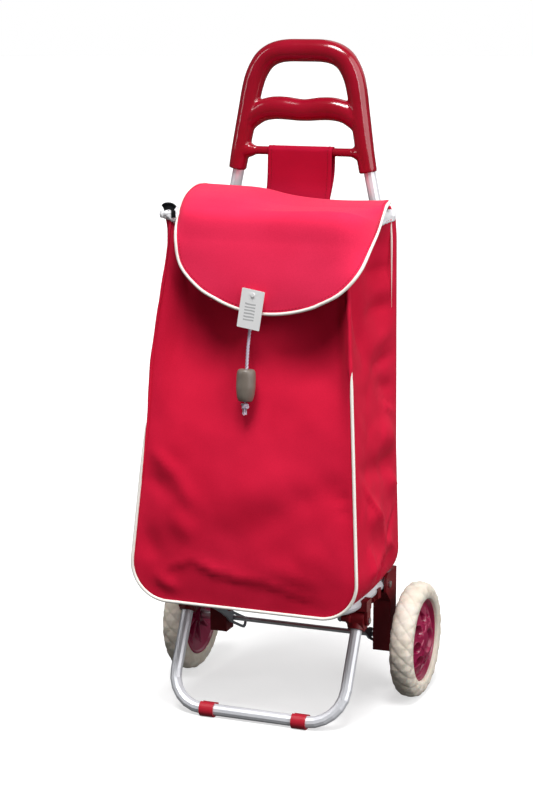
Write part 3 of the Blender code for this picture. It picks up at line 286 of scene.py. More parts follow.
def tube_points(route, radii, sides):
    """Rings round a route, one for each of its points."""
    _, firsts, seconds = frames_along(route)
    radii = np.broadcast_to(radii, len(route))
    turns = full_turn(sides)[None, :, None]
    rings = np.cos(turns) * firsts[:, None, :] + np.sin(turns) * seconds[:, None, :]
    return np.asarray(route, float)[:, None, :] + rings * radii[:, None, None]


def tube_piece(name, route, radii, sides=16):
    rings = tube_points(route, radii, sides)
    girth = 2 * math.pi * float(np.max(radii)) / sides
    uvs = [(column * girth, length) for length in run_lengths(route) for column in range(sides)]
    return mesh_piece(name, rings.reshape(-1, 3), tube_faces(len(rings), sides), uvs)


def joined(target, *others):
    """Merge other mesh objects into target, keeping UVs and materials."""
    bpy.ops.object.select_all(action="DESELECT")
    for obj in (target, *others):
        obj.select_set(True)
    bpy.context.view_layer.objects.active = target
    bpy.ops.object.join()
    return target


def apply_modifiers(obj):
    bpy.context.view_layer.update()
    evaluated = obj.evaluated_get(bpy.context.evaluated_depsgraph_get())
    mesh = bpy.data.meshes.new_from_object(evaluated)
    obj.modifiers.clear()
    old = obj.data
    obj.data = mesh
    bpy.data.meshes.remove(old)
    return obj


def outward_normals(obj, weld=0.0):
    """Turn every face outward, once points closer together than weld are one."""
    bm = bmesh.new()
    bm.from_mesh(obj.data)
    if weld > 0:
        bmesh.ops.remove_doubles(bm, verts=bm.verts, dist=weld)
    bmesh.ops.recalc_face_normals(bm, faces=bm.faces)
    bm.to_mesh(obj.data)
    bm.free()


def thicken(obj, thickness, offset=-1.0):
    solid = obj.modifiers.new("thickness", "SOLIDIFY")
    solid.thickness = thickness
    solid.offset = offset
    return apply_modifiers(obj)


def paint(obj, material):
    obj.data.materials.clear()
    obj.data.materials.append(material)


def piece(obj, material, body, slot, *nodes):
    """Give a new piece its material and its body, and hide the CAD nodes it stands for; slot is not used."""
    paint(obj, material)
    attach(obj, body)
    if nodes:
        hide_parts(*nodes)
    return obj


# ---------------------------------------------------------------- shader helpers
def node(material, kind, inputs=(), **settings):
    made = material.node_tree.nodes.new(kind)
    for key, value in settings.items():
        setattr(made, key, value)
    for key, value in inputs:
        if isinstance(value, bpy.types.NodeSocket):
            material.node_tree.links.new(value, made.inputs[key])
        else:
            made.inputs[key].default_value = value
    return made


def shader_of(material):
    return material.node_tree.nodes["Principled BSDF"]


def new_material(name, roughness, metallic=0.0, **sockets):
    material = bpy.data.materials.new(name)
    material.use_nodes = True
    shader = shader_of(material)
    shader.inputs["Roughness"].default_value = roughness
    shader.inputs["Metallic"].default_value = metallic
    for key, value in sockets.items():
        shader.inputs[key.replace("_", " ")].default_value = value
    return material


def object_noise(material, scale, detail=3.0, roughness=0.55):
    """Noise in the object's own space, so it stays with the piece as it moves."""
    place = node(material, "ShaderNodeTexCoord").outputs["Object"]
    return node(material, "ShaderNodeTexNoise", [("Vector", place), ("Scale", scale), ("Detail", detail),
                                                 ("Roughness", roughness)]).outputs["Fac"]


def blend_colours(material, factor, low, high):
    mixed = node(material, "ShaderNodeMix", [("Factor", factor)], data_type="RGBA")
    mixed.inputs["A"].default_value = (*low, 1.0)
    mixed.inputs["B"].default_value = (*high, 1.0)
    return [output for output in mixed.outputs if output.type == "RGBA"][0]


def contrast(material, value, low, high):
    """Stretch the values from low to high over 0 to 1."""
    return node(material, "ShaderNodeMapRange",
                [("Value", value), ("From Min", low), ("From Max", high)]).outputs[0]


def range_of(material, value, low, high):
    """Bring the values 0 to 1 between low and high."""
    return node(material, "ShaderNodeMapRange",
                [("Value", value), ("To Min", low), ("To Max", high)]).outputs[0]


def plug(material, name, output):
    """Join an output to one of the shader's inputs."""
    material.node_tree.links.new(output, shader_of(material).inputs[name])


def maths(material, operation, *values):
    return node(material, "ShaderNodeMath", enumerate(values), operation=operation).outputs[0]


def bump(material, height, strength, distance, normal=None):
    inputs = [("Height", height), ("Strength", strength), ("Distance", distance)]
    if normal is not None:
        inputs.append(("Normal", normal))
    return node(material, "ShaderNodeBump", inputs).outputs[0]


def stripes(material, cloth, pitch, bands, **inputs):
    """Bands of the given pitch in metres across a piece's own flat layout."""
    named = [(key.replace("_", " "), value) for key, value in inputs.items()]
    scale = 2 * math.pi / (WAVE_TURNS * pitch)
    return node(material, "ShaderNodeTexWave", [("Vector", cloth), ("Scale", scale), *named],
                bands_direction=bands).outputs["Fac"]


def flat_layout(material):
    return node(material, "ShaderNodeUVMap", uv_map="metres").outputs[0]


def weave_height(material, pitch):
    """Two crossing sets of threads, over and under, in metres of cloth."""
    cloth = flat_layout(material)
    warp, weft = [stripes(material, cloth, pitch, bands, Distortion=0.6, Detail=1.0, Detail_Scale=1.5)
                  for bands in ("X", "Y")]
    return maths(material, "MULTIPLY", warp, weft)


def fabric(name, dark, light, pitch=0.0009, sheen=0.02, roughness=0.80):
    """Coated woven polyester: threads, a fine fleck and slow shade changes."""
    material = new_material(name, roughness, Sheen_Weight=sheen, Sheen_Roughness=0.4, Specular_IOR_Level=0.10)
    slow = contrast(material, object_noise(material, 9.0, 2.0), 0.30, 0.70)
    fleck = contrast(material, object_noise(material, 750.0, 2.0), 0.25, 0.75)
    shade = maths(material, "MULTIPLY", maths(material, "ADD", slow, fleck), 0.5)
    plug(material, "Base Color", blend_colours(material, shade, dark, light))
    plug(material, "Roughness", range_of(material, fleck, roughness - 0.07, roughness + 0.07))
    threads = bump(material, weave_height(material, pitch), 0.35, 0.00022)
    plug(material, "Normal", bump(material, object_noise(material, 260.0, 3.0), 0.18, 0.0005, threads))
    return material


def moulded(name, dark, light, roughness, grain=0.06, grain_scale=900.0, edge=0.0007, **sockets):
    """Moulded plastic: slight flow marks in colour and gloss, a fine skin, and softened edges."""
    material = new_material(name, roughness, **sockets)
    flow = contrast(material, object_noise(material, 26.0, 3.0), 0.30, 0.70)
    plug(material, "Base Color", blend_colours(material, flow, dark, light))
    wear = object_noise(material, 60.0, 4.0)
    plug(material, "Roughness", range_of(material, wear, roughness * 0.75, roughness * 1.3))
    rounded = node(material, "ShaderNodeBevel", [("Radius", edge)], samples=4).outputs[0]
    plug(material, "Normal", bump(material, object_noise(material, grain_scale, 2.0), grain, 0.0003, rounded))
    return material


def steel(name, dark, light, roughness, metallic=1.0, grain=0.05, scale=(40.0, 40.0, 1400.0)):
    """Painted or plated steel: fine flake or drawing marks and faint handling smears."""
    material = new_material(name, roughness, metallic)
    smear = contrast(material, object_noise(material, 22.0, 4.0), 0.30, 0.70)
    plug(material, "Base Color", blend_colours(material, smear, dark, light))
    wear = object_noise(material, 34.0, 5.0)
    plug(material, "Roughness", range_of(material, wear, roughness * 0.8, roughness * 1.3))
    place = node(material, "ShaderNodeTexCoord").outputs["Object"]
    drawn = node(material, "ShaderNodeMapping", [("Vector", place), ("Scale", scale)]).outputs[0]
    marks = node(material, "ShaderNodeTexNoise", [("Vector", drawn), ("Scale", 1.0), ("Detail", 3.0)])
    plug(material, "Normal", bump(material, marks.outputs["Fac"], grain, 0.0003))
    return material


def tyre_foam(name):
    """Cream closed-cell foam, slightly soiled in patches."""
    material = new_material(name, 0.72, Subsurface_Weight=0.10, Subsurface_Scale=0.004,
                            Specular_IOR_Level=0.35)
    stain = contrast(material, object_noise(material, 38.0, 5.0), 0.35, 0.75)
    plug(material, "Base Color", blend_colours(material, stain, (0.70, 0.64, 0.56), (0.61, 0.54, 0.44)))
    pores = node(material, "ShaderNodeTexVoronoi", [("Scale", 900.0)]).outputs["Distance"]
    soft = bump(material, object_noise(material, 120.0, 3.0), 0.30, 0.0008)
    plug(material, "Normal", bump(material, pores, 0.20, 0.0003, soft))
    return material


def card(name):
    """White card with a generic grey block of stripes in the lower half of its face."""
    material = new_material(name, 0.45, Coat_Weight=0.15)
    face = flat_layout(material)
    split = node(material, "ShaderNodeSeparateXYZ", [("Vector", face)])
    within = [maths(material, "COMPARE", split.outputs[axis], (low + high) / 2, (high - low) / 2)
              for axis, (low, high) in enumerate(TAG_PRINT)]
    printed = stripes(material, face, TAG_STRIPE_PITCH, "Y", Distortion=2.0, Detail=0.0)
    inked = maths(material, "GREATER_THAN", printed, 0.55)
    shown = maths(material, "MULTIPLY", inked, maths(material, "MULTIPLY", *within))
    plug(material, "Base Color", blend_colours(material, shown, (0.86, 0.86, 0.86), (0.48, 0.48, 0.49)))
    plug(material, "Normal", bump(material, object_noise(material, 500.0, 3.0), 0.05, 0.0002))
    return material


# ---------------------------------------------------------------- materials
BAG_RED = fabric("bag_red", (0.50, 0.004, 0.028), (0.64, 0.011, 0.047))
# the flap is the bag's red painted lighter: painted light for the key light it faces
FLAP_RED_PAINTED_LIGHT = fabric("flap_red_painted_light", (0.69, 0.015, 0.062), (0.84, 0.030, 0.098), sheen=0.08)
# the strap is the bag's red painted darker: painted shade for the weaker light where it hangs
STRAP_RED_PAINTED_SHADE = fabric("strap_red_painted_shade", (0.32, 0.001, 0.019), (0.40, 0.003, 0.028), sheen=0.0)
PIPING = fabric("piping_white", (0.80, 0.77, 0.70), (0.88, 0.86, 0.81), pitch=0.0007, sheen=0.1,
                roughness=0.55)
LINING = fabric("lining_white", (0.78, 0.77, 0.80), (0.90, 0.89, 0.91), pitch=0.0010, roughness=0.6)
WEBBING = fabric("webbing_black", (0.004, 0.004, 0.005), (0.012, 0.012, 0.014), pitch=0.0014)
THREAD = fabric("thread_red", (0.20, 0.004, 0.012), (0.27, 0.007, 0.020), pitch=0.0005)
FLAP_THREAD = fabric("thread_pink", (0.42, 0.008, 0.030), (0.50, 0.012, 0.040), pitch=0.0005)
CORD = fabric("cord_lilac", (0.42, 0.35, 0.46), (0.66, 0.60, 0.70), pitch=0.0008, roughness=0.7)
HANDLE = moulded("handle_crimson", (0.260, 0.002, 0.012), (0.305, 0.003, 0.018), 0.16, grain=0.03,
                 grain_scale=300.0, edge=0.0004, Coat_Weight=0.25, Coat_Roughness=0.05)
BRACKET = moulded("bracket_burgundy", (0.120, 0.003, 0.006), (0.160, 0.006, 0.010), 0.36,
                  Specular_IOR_Level=0.3)
CLIP = moulded("clip_red", (0.40, 0.010, 0.024), (0.48, 0.015, 0.034), 0.34)
RIM = moulded("rim_raspberry", (0.255, 0.004, 0.046), (0.31, 0.007, 0.062), 0.32, Coat_Weight=0.2)
BEAD = moulded("bead_taupe", (0.125, 0.100, 0.082), (0.215, 0.185, 0.155), 0.38, grain=0.10)
BLACK = moulded("black_moulded", (0.018, 0.018, 0.020), (0.030, 0.030, 0.032), 0.50)
TUBE = steel("tube_silver", (0.70, 0.71, 0.75), (0.80, 0.81, 0.85), 0.36, metallic=0.30)
STRUT = steel("strut_zinc", (0.33, 0.36, 0.40), (0.44, 0.47, 0.51), 0.40, grain=0.12,
              scale=(300.0, 60.0, 60.0))
BOLT = steel("bolt_zinc", (0.60, 0.61, 0.63), (0.72, 0.73, 0.75), 0.28, grain=0.10)
FOAM = tyre_foam("tyre_foam")
CARD = card("tag_card")

NODE_LOOKS = {
    "upright": TUBE, "base_tube": TUBE, "foot_tube": TUBE, "wheel_bracket": BRACKET, "front_saddle": BRACKET,
    "tube_hook": BRACKET, "foot_socket": BRACKET, "foot_clip": CLIP, "hub_cap": RIM, "strut": STRUT,
    "mouth_hoop": STRUT, "hoop_clamp": BLACK, "base_board": BLACK, "tag_fastener": CARD,
}


def dress_nodes():
    """Every CAD node gets a finished material; what isn't named here is bright zinc."""
    for name, obj in NODES.items():
        stem = name.removesuffix("_left").removesuffix("_right")
        paint(obj, NODE_LOOKS.get(stem, BOLT))


# ---------------------------------------------------------------- camera, light and floor
def make_camera():
    camera = link(bpy.data.objects.new("camera", bpy.data.cameras.new("camera")))
    camera.data.lens = CAMERA_LENS
    camera.location = CAMERA_PLACE
    camera.rotation_euler = CAMERA_TURN
    bpy.context.scene.camera = camera


def area_light(name, place, aim, size, power):
    lamp = bpy.data.lights.new(name, "AREA")
    lamp.shape = "RECTANGLE"
    lamp.size, lamp.size_y = size
    lamp.energy = power
    obj = link(bpy.data.objects.new(name, lamp))
    obj.location = place
    obj.rotation_euler = (Vector(aim) - Vector(place)).to_track_quat("-Z", "Y").to_euler()


def sun(name, direction, strength, spread, shine=1.0):
    """A broad soft light from a direction, the same all over the studio."""
    lamp = bpy.data.lights.new(name, "SUN")
    lamp.energy = strength
    lamp.angle = math.radians(spread)
    lamp.specular_factor = shine
    obj = link(bpy.data.objects.new(name, lamp))
    obj.rotation_euler = Vector(direction).to_track_quat("Z", "Y").to_euler()


def make_world():
    """A studio with dim light all round and a bright white backdrop."""
    world = bpy.data.worlds.new("studio")
    world.use_nodes = True
    tree = world.node_tree
    lit = tree.nodes["Background"]
    wall = tree.nodes.new("ShaderNodeBackground")
    for shade, strength in ((lit, 0.09), (wall, 1.0)):
        shade.inputs["Color"].default_value = (1.0, 1.0, 1.0, 1.0)
        shade.inputs["Strength"].default_value = strength
    path = tree.nodes.new("ShaderNodeLightPath")
    either = tree.nodes.new("ShaderNodeMixShader")
    tree.links.new(path.outputs["Is Camera Ray"], either.inputs[0])
    tree.links.new(lit.outputs[0], either.inputs[1])
    tree.links.new(wall.outputs[0], either.inputs[2])
    tree.links.new(either.outputs[0], tree.nodes["World Output"].inputs["Surface"])
    bpy.context.scene.world = world
    bpy.context.scene.view_settings.view_transform = "Standard"


def make_stage():
    """A wide pale floor, which takes shadows but throws little light back, and the lamps."""
    radius = 30.0
    edge = [(radius * math.cos(a), radius * math.sin(a), 0.0) for a in full_turn(64)]
    floor = mesh_piece("studio_floor", edge, [tuple(range(len(edge)))])
    material = new_material("floor_paper", 0.9, Emission_Color=(1.0, 1.0, 1.0, 1.0), Emission_Strength=0.58,
                            Specular_IOR_Level=0.0)
    mottle = blend_colours(material, object_noise(material, 3.0), (0.52, 0.52, 0.52), (0.54, 0.54, 0.54))
    plug(material, "Base Color", mottle)
    paint(floor, material)
    floor.visible_diffuse = False
    floor.visible_glossy = False
    sun("key", (0.10, -0.68, 1.70), 3.2, 24.0)
    sun("side_fill", (1.30, -0.28, 0.60), 2.1, 60.0, shine=0.25)
    sun("rear_fill", (0.30, 1.0, 0.70), 0.50, 60.0, shine=0.25)
    area_light("softbox_right", (1.5, -1.3, 1.9), (0.0, 0.0, 0.55), (0.22, 1.5), 8.0)
    area_light("softbox_left", (-1.6, -0.9, 1.5), (0.0, 0.0, 0.55), (0.2, 1.5), 6.0)
    area_light("softbox_top", (0.2, -0.6, 2.4), (0.0, 0.0, 0.60), (1.2, 0.2), 6.0)
    make_world()


# ---------------------------------------------------------------- cord, bead and knot
def make_cord():
    """Two strands twisted together, from the eyelet to the knot."""
    route = smooth_line([(x, from_axle(y), z) for x, y, z in CORD_ROUTE], 160)
    tangents, firsts, seconds = frames_along(route)
    length = float(run_lengths(route)[-1])
    strands = []
    for start in (0.0, math.pi):
        angle = (start + np.linspace(0.0, 2 * math.pi * length / CORD_TWIST, len(route)))[:, None]
        centre = route + (CORD_RADIUS - STRAND_RADIUS) * (np.cos(angle) * firsts + np.sin(angle) * seconds)
        strands.append(tube_piece("strand", centre, STRAND_RADIUS, sides=8))
    cord = joined(*strands)
    cord.name = "drawcord_braid"
    piece(cord, CORD, "frame", "cord", "drawcord")
    knot = make_knot(route[-1], tangents[-1])
    make_bead()


def make_knot(end, along):
    """A tight overhand knot with a short frayed tail."""
    centre = Vector(end) + Vector(along) * 0.0050
    turns = np.linspace(0.0, 2 * math.pi, 72)
    loop = np.stack([(np.sin(turns) + 2 * np.sin(2 * turns)) * 0.00135,
                     (np.cos(turns) - 2 * np.cos(2 * turns)) * 0.00120,
                     -np.sin(3 * turns) * 0.0022], axis=1)
    knot = tube_piece("knot_loop", loop + np.array(centre), 0.00165, sides=10)
    strands = []
    for index in range(13):
        angle = 2.4 * index
        spread = 0.0011 + 0.0010 * noise.noise(Vector((index * 3.1, 0.5, 0.0)))
        top = centre + Vector((spread * math.cos(angle), spread * math.sin(angle), -0.0015))
        flare = 0.0026 + 0.0012 * noise.noise(Vector((index * 1.7, 2.5, 0.0)))
        low = centre + Vector((flare * math.cos(angle), flare * math.sin(angle) - 0.0004,
                               -0.0105 - 0.0022 * noise.noise(Vector((index * 2.3, 7.1, 0.0)))))
        middle = (top + low) / 2 + Vector((0.0005 * math.sin(index), 0.0005 * math.cos(index), 0.0))
        strands.append(tube_piece("tail_strand", smooth_line([top, middle, low], 8),
                                  np.linspace(0.00062, 0.00045, 8), sides=6))
    joined(knot, *strands)
    knot.name = "cord_end_knot"
    return piece(knot, CORD, "frame", "cord", "cord_knot")


def make_bead():
    """The sliding bead: a softly faceted barrel that narrows at its lower end."""
    low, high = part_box("toggle_bead")
    top, foot = BEAD_HALF, -BEAD_HALF
    profile = [(0.0029, top - 0.0010), (0.0040, top), (0.0088, top), (0.0107, top - 0.0012),
               (0.0119, top - 0.0040), (0.0125, top - 0.0100), (0.0126, 0.0), (0.0124, foot + 0.0160),
               (0.0113, foot + 0.0070), (0.0098, foot + 0.0022), (0.0082, foot), (0.0042, foot),
               (0.0029, foot + 0.0010)]
    radius, height = smooth_line(profile, 40).T[:, :, None]
    turns = full_turn(64)
    facet = 1.0 - 0.035 * (1.0 - np.abs(np.cos(2.5 * turns)) ** 0.7)
    width = radius * np.where(radius > 0.006, facet, 1.0)
    points = np.stack([width * np.cos(turns), width * np.sin(turns), height + 0.0 * turns], axis=2)
    faces = grid_faces(len(points), len(turns), wrap=True, close=True)
    bead = mesh_piece("toggle_bead_barrel", points.reshape(-1, 3), faces)
    bead.data.transform(Matrix.Translation((low + high) / 2) @ Matrix.Rotation(-BEAD_LEAN, 4, "X"))
    outward_normals(bead)
    return piece(bead, BEAD, "toggle", "bead", "toggle_bead")


# ---------------------------------------------------------------- bag
def front_y(z):
    return BAG_FRONT_Y + BAG_FRONT_RISE * np.maximum(0.0, z - BAG_FULL_Z)


def front_half(z):
    return BAG_FRONT_HALF - BAG_FRONT_TAPER * np.maximum(0.0, z - BAG_FULL_Z)


def rear_y(z):
    return np.full_like(z, BAG_REAR_Y)


def rear_half(z):
    slack = 0.0245 * np.maximum(0.0, z - 0.36)
    narrowing = 0.060 * np.maximum(0.0, z - 0.642)
    return BAG_REAR_HALF - BAG_REAR_TAPER * np.maximum(0.0, z - BAG_FULL_Z) + slack - narrowing


def left_pull(z):
    """The left edge of the front panel is drawn in near the mouth and stands out lower down."""
    return 0.0048 * ramp(z, 0.550, 0.080) - 0.0045 * hump(z, 0.490, 0.060)


def corner_inset(z):
    rise = np.minimum(np.maximum(z - BAG_BOTTOM_Z, 0.0), BAG_CORNER)
    return BAG_CORNER - np.sqrt(BAG_CORNER ** 2 - (BAG_CORNER - rise) ** 2)


def panel_heights(top, count):
    """Heights of the bag's rows, closer together round the bottom corners."""
    turns = np.radians(np.linspace(0.0, 90.0, 13))
    low = BAG_BOTTOM_Z + BAG_CORNER * (1 - np.cos(turns))
    return np.concatenate([low, np.linspace(low[-1], top, count)[1:]])


def near_line(x, z, start, end):
    """Distance to a line segment, and how far along it the nearest point lies."""
    ax, az = start
    dx, dz = end[0] - ax, end[1] - az
    along = np.clip(((x - ax) * dx + (z - az) * dz) / (dx * dx + dz * dz), 0.0, 1.0)
    return np.hypot(x - ax - dx * along, z - az - dz * along), along


def fold(x, z, start, end, width, height):
    """A fold along a line: it stands out, or lies in where height is negative, and dies away at its end."""
    distance, along = near_line(x, z, start, end)
    fade = np.sin(np.pi * (0.08 + 0.84 * along)) ** 0.7
    return height * fade * hump(distance, 0.0, width)


def crisp(x, z, start, end, width, height):
    """A sharp crease with a soft bank on its upper side."""
    distance, along = near_line(x, z, start, end)
    dx, dz = end[0] - start[0], end[1] - start[1]
    length = math.hypot(dx, dz)
    side = ((x - start[0]) * dz - (z - start[1]) * dx) / length
    fade = np.sin(np.pi * (0.06 + 0.88 * along)) ** 0.6
    bank = 0.55 * hump(distance, 0.0, 1.5 * width) * (side > 0)
    return height * fade * (np.exp(-distance / width) - bank)


def ripple(x, z, scale, seed):
    """Slow uneven waves in the cloth."""
    places = np.stack([x * scale, z * scale, np.full_like(x, seed)], axis=-1).reshape(-1, 3)
    return np.array([noise.noise(Vector(place)) for place in places]).reshape(x.shape)


FRONT_FOLDS = (
    # start, end, width, height: soft folds of the front panel, in its own width and height
    ((-0.140, 0.372), (-0.094, 0.338), 0.010, 0.0030), ((-0.094, 0.338), (-0.069, 0.300), 0.012, 0.0028),
    ((-0.150, 0.340), (-0.110, 0.315), 0.012, -0.0035), ((-0.100, 0.290), (-0.066, 0.258), 0.016, 0.0036),
    ((-0.145, 0.262), (-0.120, 0.225), 0.016, -0.0040), ((0.150, 0.352), (0.076, 0.313), 0.018, -0.0022),
    ((0.076, 0.313), (-0.010, 0.268), 0.020, -0.0018), ((0.060, 0.345), (-0.040, 0.300), 0.030, 0.0036),
    ((-0.060, 0.560), (-0.085, 0.440), 0.030, -0.0030), ((0.030, 0.500), (0.110, 0.400), 0.034, 0.0026),
    ((0.149, 0.330), (0.125, 0.322), 0.007, -0.0024), ((0.149, 0.312), (0.128, 0.306), 0.007, -0.0020),
    ((0.120, 0.255), (0.080, 0.232), 0.020, 0.0026), ((-0.120, 0.200), (-0.092, 0.186), 0.009, 0.0030),
    ((0.020, 0.235), (0.100, 0.215), 0.014, 0.0022), ((-0.150, 0.440), (-0.120, 0.400), 0.016, -0.0024),
    ((-0.118, 0.655), (-0.134, 0.420), 0.009, 0.0050), ((-0.098, 0.655), (-0.112, 0.500), 0.014, -0.0050),
)
FRONT_CREASES = (
    ((-0.100, 0.216), (-0.069, 0.227), 0.010, 0.0075), ((-0.069, 0.227), (-0.030, 0.213), 0.011, 0.0085),
    ((-0.034, 0.214), (0.045, 0.205), 0.012, 0.0085), ((0.040, 0.206), (0.096, 0.190), 0.009, 0.0055),
    ((-0.118, 0.196), (-0.100, 0.216), 0.008, 0.0050), ((-0.148, 0.366), (-0.112, 0.352), 0.006, 0.0030),
)
SIDE_FOLDS = (
    # the same for the bag's right side, in its own depth from the axle and height
    ((-0.036, 0.606), (-0.105, 0.598), 0.008, -0.0032), ((-0.036, 0.556), (-0.120, 0.546), 0.009, -0.0040),
    ((-0.036, 0.580), (-0.110, 0.572), 0.010, 0.0030), ((-0.036, 0.522), (-0.125, 0.508), 0.014, 0.0040),
    ((-0.036, 0.488), (-0.110, 0.480), 0.008, -0.0036), ((-0.036, 0.441), (-0.095, 0.452), 0.010, -0.0034),
    ((-0.160, 0.610), (-0.140, 0.500), 0.016, -0.0060), ((-0.100, 0.650), (-0.080, 0.520), 0.022, -0.0040),
    ((-0.036, 0.370), (-0.110, 0.390), 0.020, 0.0075), ((-0.060, 0.345), (-0.170, 0.352), 0.014, -0.0045),
    ((-0.172, 0.300), (-0.130, 0.280), 0.016, 0.0050), ((-0.036, 0.300), (-0.080, 0.330), 0.014, 0.0060),
    ((-0.140, 0.208), (-0.060, 0.222), 0.014, -0.0055),
)
SIDE_CREASES = (
    ((-0.022, 0.405), (-0.092, 0.428), 0.007, 0.0085), ((-0.020, 0.399), (-0.050, 0.404), 0.005, 0.0060),
    ((-0.178, 0.336), (-0.117, 0.254), 0.007, 0.0060), ((-0.105, 0.244), (-0.048, 0.218), 0.006, 0.0070),
    ((-0.028, 0.292), (-0.109, 0.246), 0.008, -0.0085), ((-0.172, 0.218), (-0.120, 0.234), 0.008, 0.0075),
    ((-0.176, 0.250), (-0.171, 0.212), 0.008, 0.0060), ((-0.062, 0.318), (-0.034, 0.300), 0.006, 0.0055),
    ((-0.118, 0.234), (-0.135, 0.196), 0.007, 0.0065),
)


def wrinkles(x, z, shift, folds, creases, crease_depth):
    """All the given folds and creases, the folds moved down by shift and the creases up by it."""
    total = 0.0
    for start, end, width, height in folds:
        total = total + FOLD_DEPTH * fold(x, z + shift, start, end, width, height)
    for start, end, width, height in creases:
        total = total + crease_depth * crisp(x, z - shift, start, end, width, height)
    return total


def front_relief(x, z):
    """How far the front panel stands out of its plane; nothing at its seams, and slack behind the bead."""
    from_seam = front_half(z) - corner_inset(z) - np.abs(x)
    inner = ramp(from_seam, 0.0, np.where(x < 0, 0.036, 0.020))
    ends = ramp(z, BAG_BOTTOM_Z, 0.022) ** 0.7 * ramp(z, BAG_TOP_Z, -0.030)
    taut = (inner * inner * (3 - 2 * inner)) ** 0.6 * ends
    across = x / FRONT_REACH
    relief = FRONT_BELLY * hump(z, FRONT_BELLY_Z, 0.090) * (1 - across ** 2)
    held = 0.85 * hump(x, 0.0, 0.030) * ramp(z, 0.570, -0.050)
    relief = relief - FRONT_SAG * (1 - held) * hump(z, FRONT_SAG_Z, 0.080) * (1 - np.abs(across) ** 3)
    relief = relief + wrinkles(x, z, 0.0, FRONT_FOLDS, FRONT_CREASES, CREASE_DEPTH)
    relief = relief + 0.0022 * ripple(x, z, 11.0, 3.3) + 0.0009 * ripple(x, z, 34.0, 8.1)
    behind_bead = hump(x, 0.0, 0.034) * ramp(z, 0.395, 0.045)
    relief = np.where(relief > 0, relief * (1 - behind_bead), relief) - 0.0016 * behind_bead
    return relief * taut


def side_relief(depth, z, sign):
    """How far a side of the bag stands out between its seams; the left repeats the right, weaker."""
    front = front_y(z)
    t = ramp(depth, front, BAG_REAR_Y - front)
    taut = np.minimum(1.0, np.minimum(t / 0.10, (1 - t) / 0.24)) ** 0.9
    share, shift = (1.0, 0.0) if sign > 0 else (LEFT_SIDE_SHARE, LEFT_SIDE_SHIFT)
    relief = np.sin(np.pi * t) * (0.0050 * ramp(z, 0.42, -0.15) - 0.010 * ramp(z, 0.40, 0.22))
    relief = relief + share * wrinkles(depth, z, shift, SIDE_FOLDS, SIDE_CREASES, 1.0)
    relief = relief + 0.0030 * ripple(depth, z, 17.0, 5.7 * sign)
    relief = relief + 0.0012 * ripple(depth, z, 48.0, 2.2 * sign)
    bulge = MOUTH_BULGE * np.sin(np.pi * t ** 0.6) * ramp(z, 0.605, 0.063) ** 2
    return relief * taut * ramp(z, BAG_TOP_Z, -0.030) + bulge


def panel_points(half_at, y_at, top, columns):
    heights = panel_heights(top, 78)
    across = np.linspace(-1.0, 1.0, columns)
    z = np.repeat(heights[:, None], columns, axis=1)
    x = across[None, :] * (half_at(z) - corner_inset(z))
    return np.stack([x, AXLE_Y + y_at(z), z], axis=2)


def seam_points(panel):
    """The panel's edge, down its right side, along its bottom and up its left side."""
    right = panel[::-1, -1]
    bottom = panel[0, -2:0:-1]
    left = panel[:, 0]
    return np.concatenate([right, bottom, left])


def yoke_points(edge):
    """The back panel's top, from its side seams up to the rear edge of the flap."""
    rise = np.linspace(0.0, 1.0, 9)[:, None]
    u = edge[:, 0] / edge[-1, 0]
    top = np.array([BAG_REAR_TOP_Z + flap_lean(value) for value in u])
    x = edge[None, :, 0] * (1 - 0.055 * rise)
    y = edge[None, :, 1] * (1 - rise) + from_axle(-0.0305) * rise
    z = edge[None, :, 2] * (1 - rise) + top[None, :] * rise
    return np.stack([x, y, z], axis=2)


def make_bag_shell():
    """Front, back and gusset as one sewn shell."""
    columns = 61
    front = panel_points(front_half, front_y, BAG_TOP_Z, columns)
    leftward = ramp(-front[..., 0], 0.0, BAG_FRONT_HALF)
    front[..., 0] += left_pull(front[..., 2]) * leftward ** 1.5
    back = panel_points(rear_half, rear_y, BAG_TOP_Z, columns)
    front_seam = seam_points(front)
    back_seam = seam_points(back)
    depth = np.linspace(0.0, 1.0, 37)[None, :, None]
    gusset = front_seam[:, None, :] * (1 - depth) + back_seam[:, None, :] * depth

    outward = unit(np.array([0.0, -1.0, BAG_FRONT_RISE]))
    front = front + front_relief(front[..., 0], front[..., 2])[..., None] * outward

    rise = ramp(gusset[..., 2], BAG_BOTTOM_Z, BAG_CORNER)
    for sign in (-1, 1):
        side = np.sign(gusset[..., 0]) == sign
        moved = side_relief(gusset[..., 1] - AXLE_Y, gusset[..., 2], sign) * side
        gusset[..., 0] += sign * moved * np.sin(rise * math.pi / 2)
    gusset[..., 2] -= 0.0035 * np.sin(np.pi * depth[..., 0]) * (1 - rise) ** 2

    from_seam = rear_half(back[..., 2]) - corner_inset(back[..., 2]) - np.abs(back[..., 0])
    back[..., 1] += 0.0025 * ripple(back[..., 0], back[..., 2], 13.0, 9.9) * ramp(from_seam, 0.0, 0.02)
    rest = (("gusset_cloth", gusset), ("back_cloth", back), ("back_yoke", yoke_points(back[-1])))
    shell = joined(grid_piece("front_cloth", front), *[grid_piece(*part, flip=True) for part in rest])
    shell.name = "bag_shell"
    outward_normals(shell, weld=WELD)
    return shell, front_seam, gusset


def bag_piece(obj, material, slot, *nodes):
    """A piece of the bag, on the frame's body and with a mesh of its own; the CAD nodes it stands for are
    hidden.
    """
    piece(obj, material, "frame", slot, *nodes)
    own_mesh(obj)


def make_bag():
    shell, front_seam, gusset = make_bag_shell()
    thicken(shell, BAG_THICKNESS)
    bag_piece(shell, BAG_RED, "bag", "bag_front", "bag_back", "bag_side_left", "bag_side_right", "bag_floor")
    make_front_piping(front_seam)
    make_rear_piping(gusset)


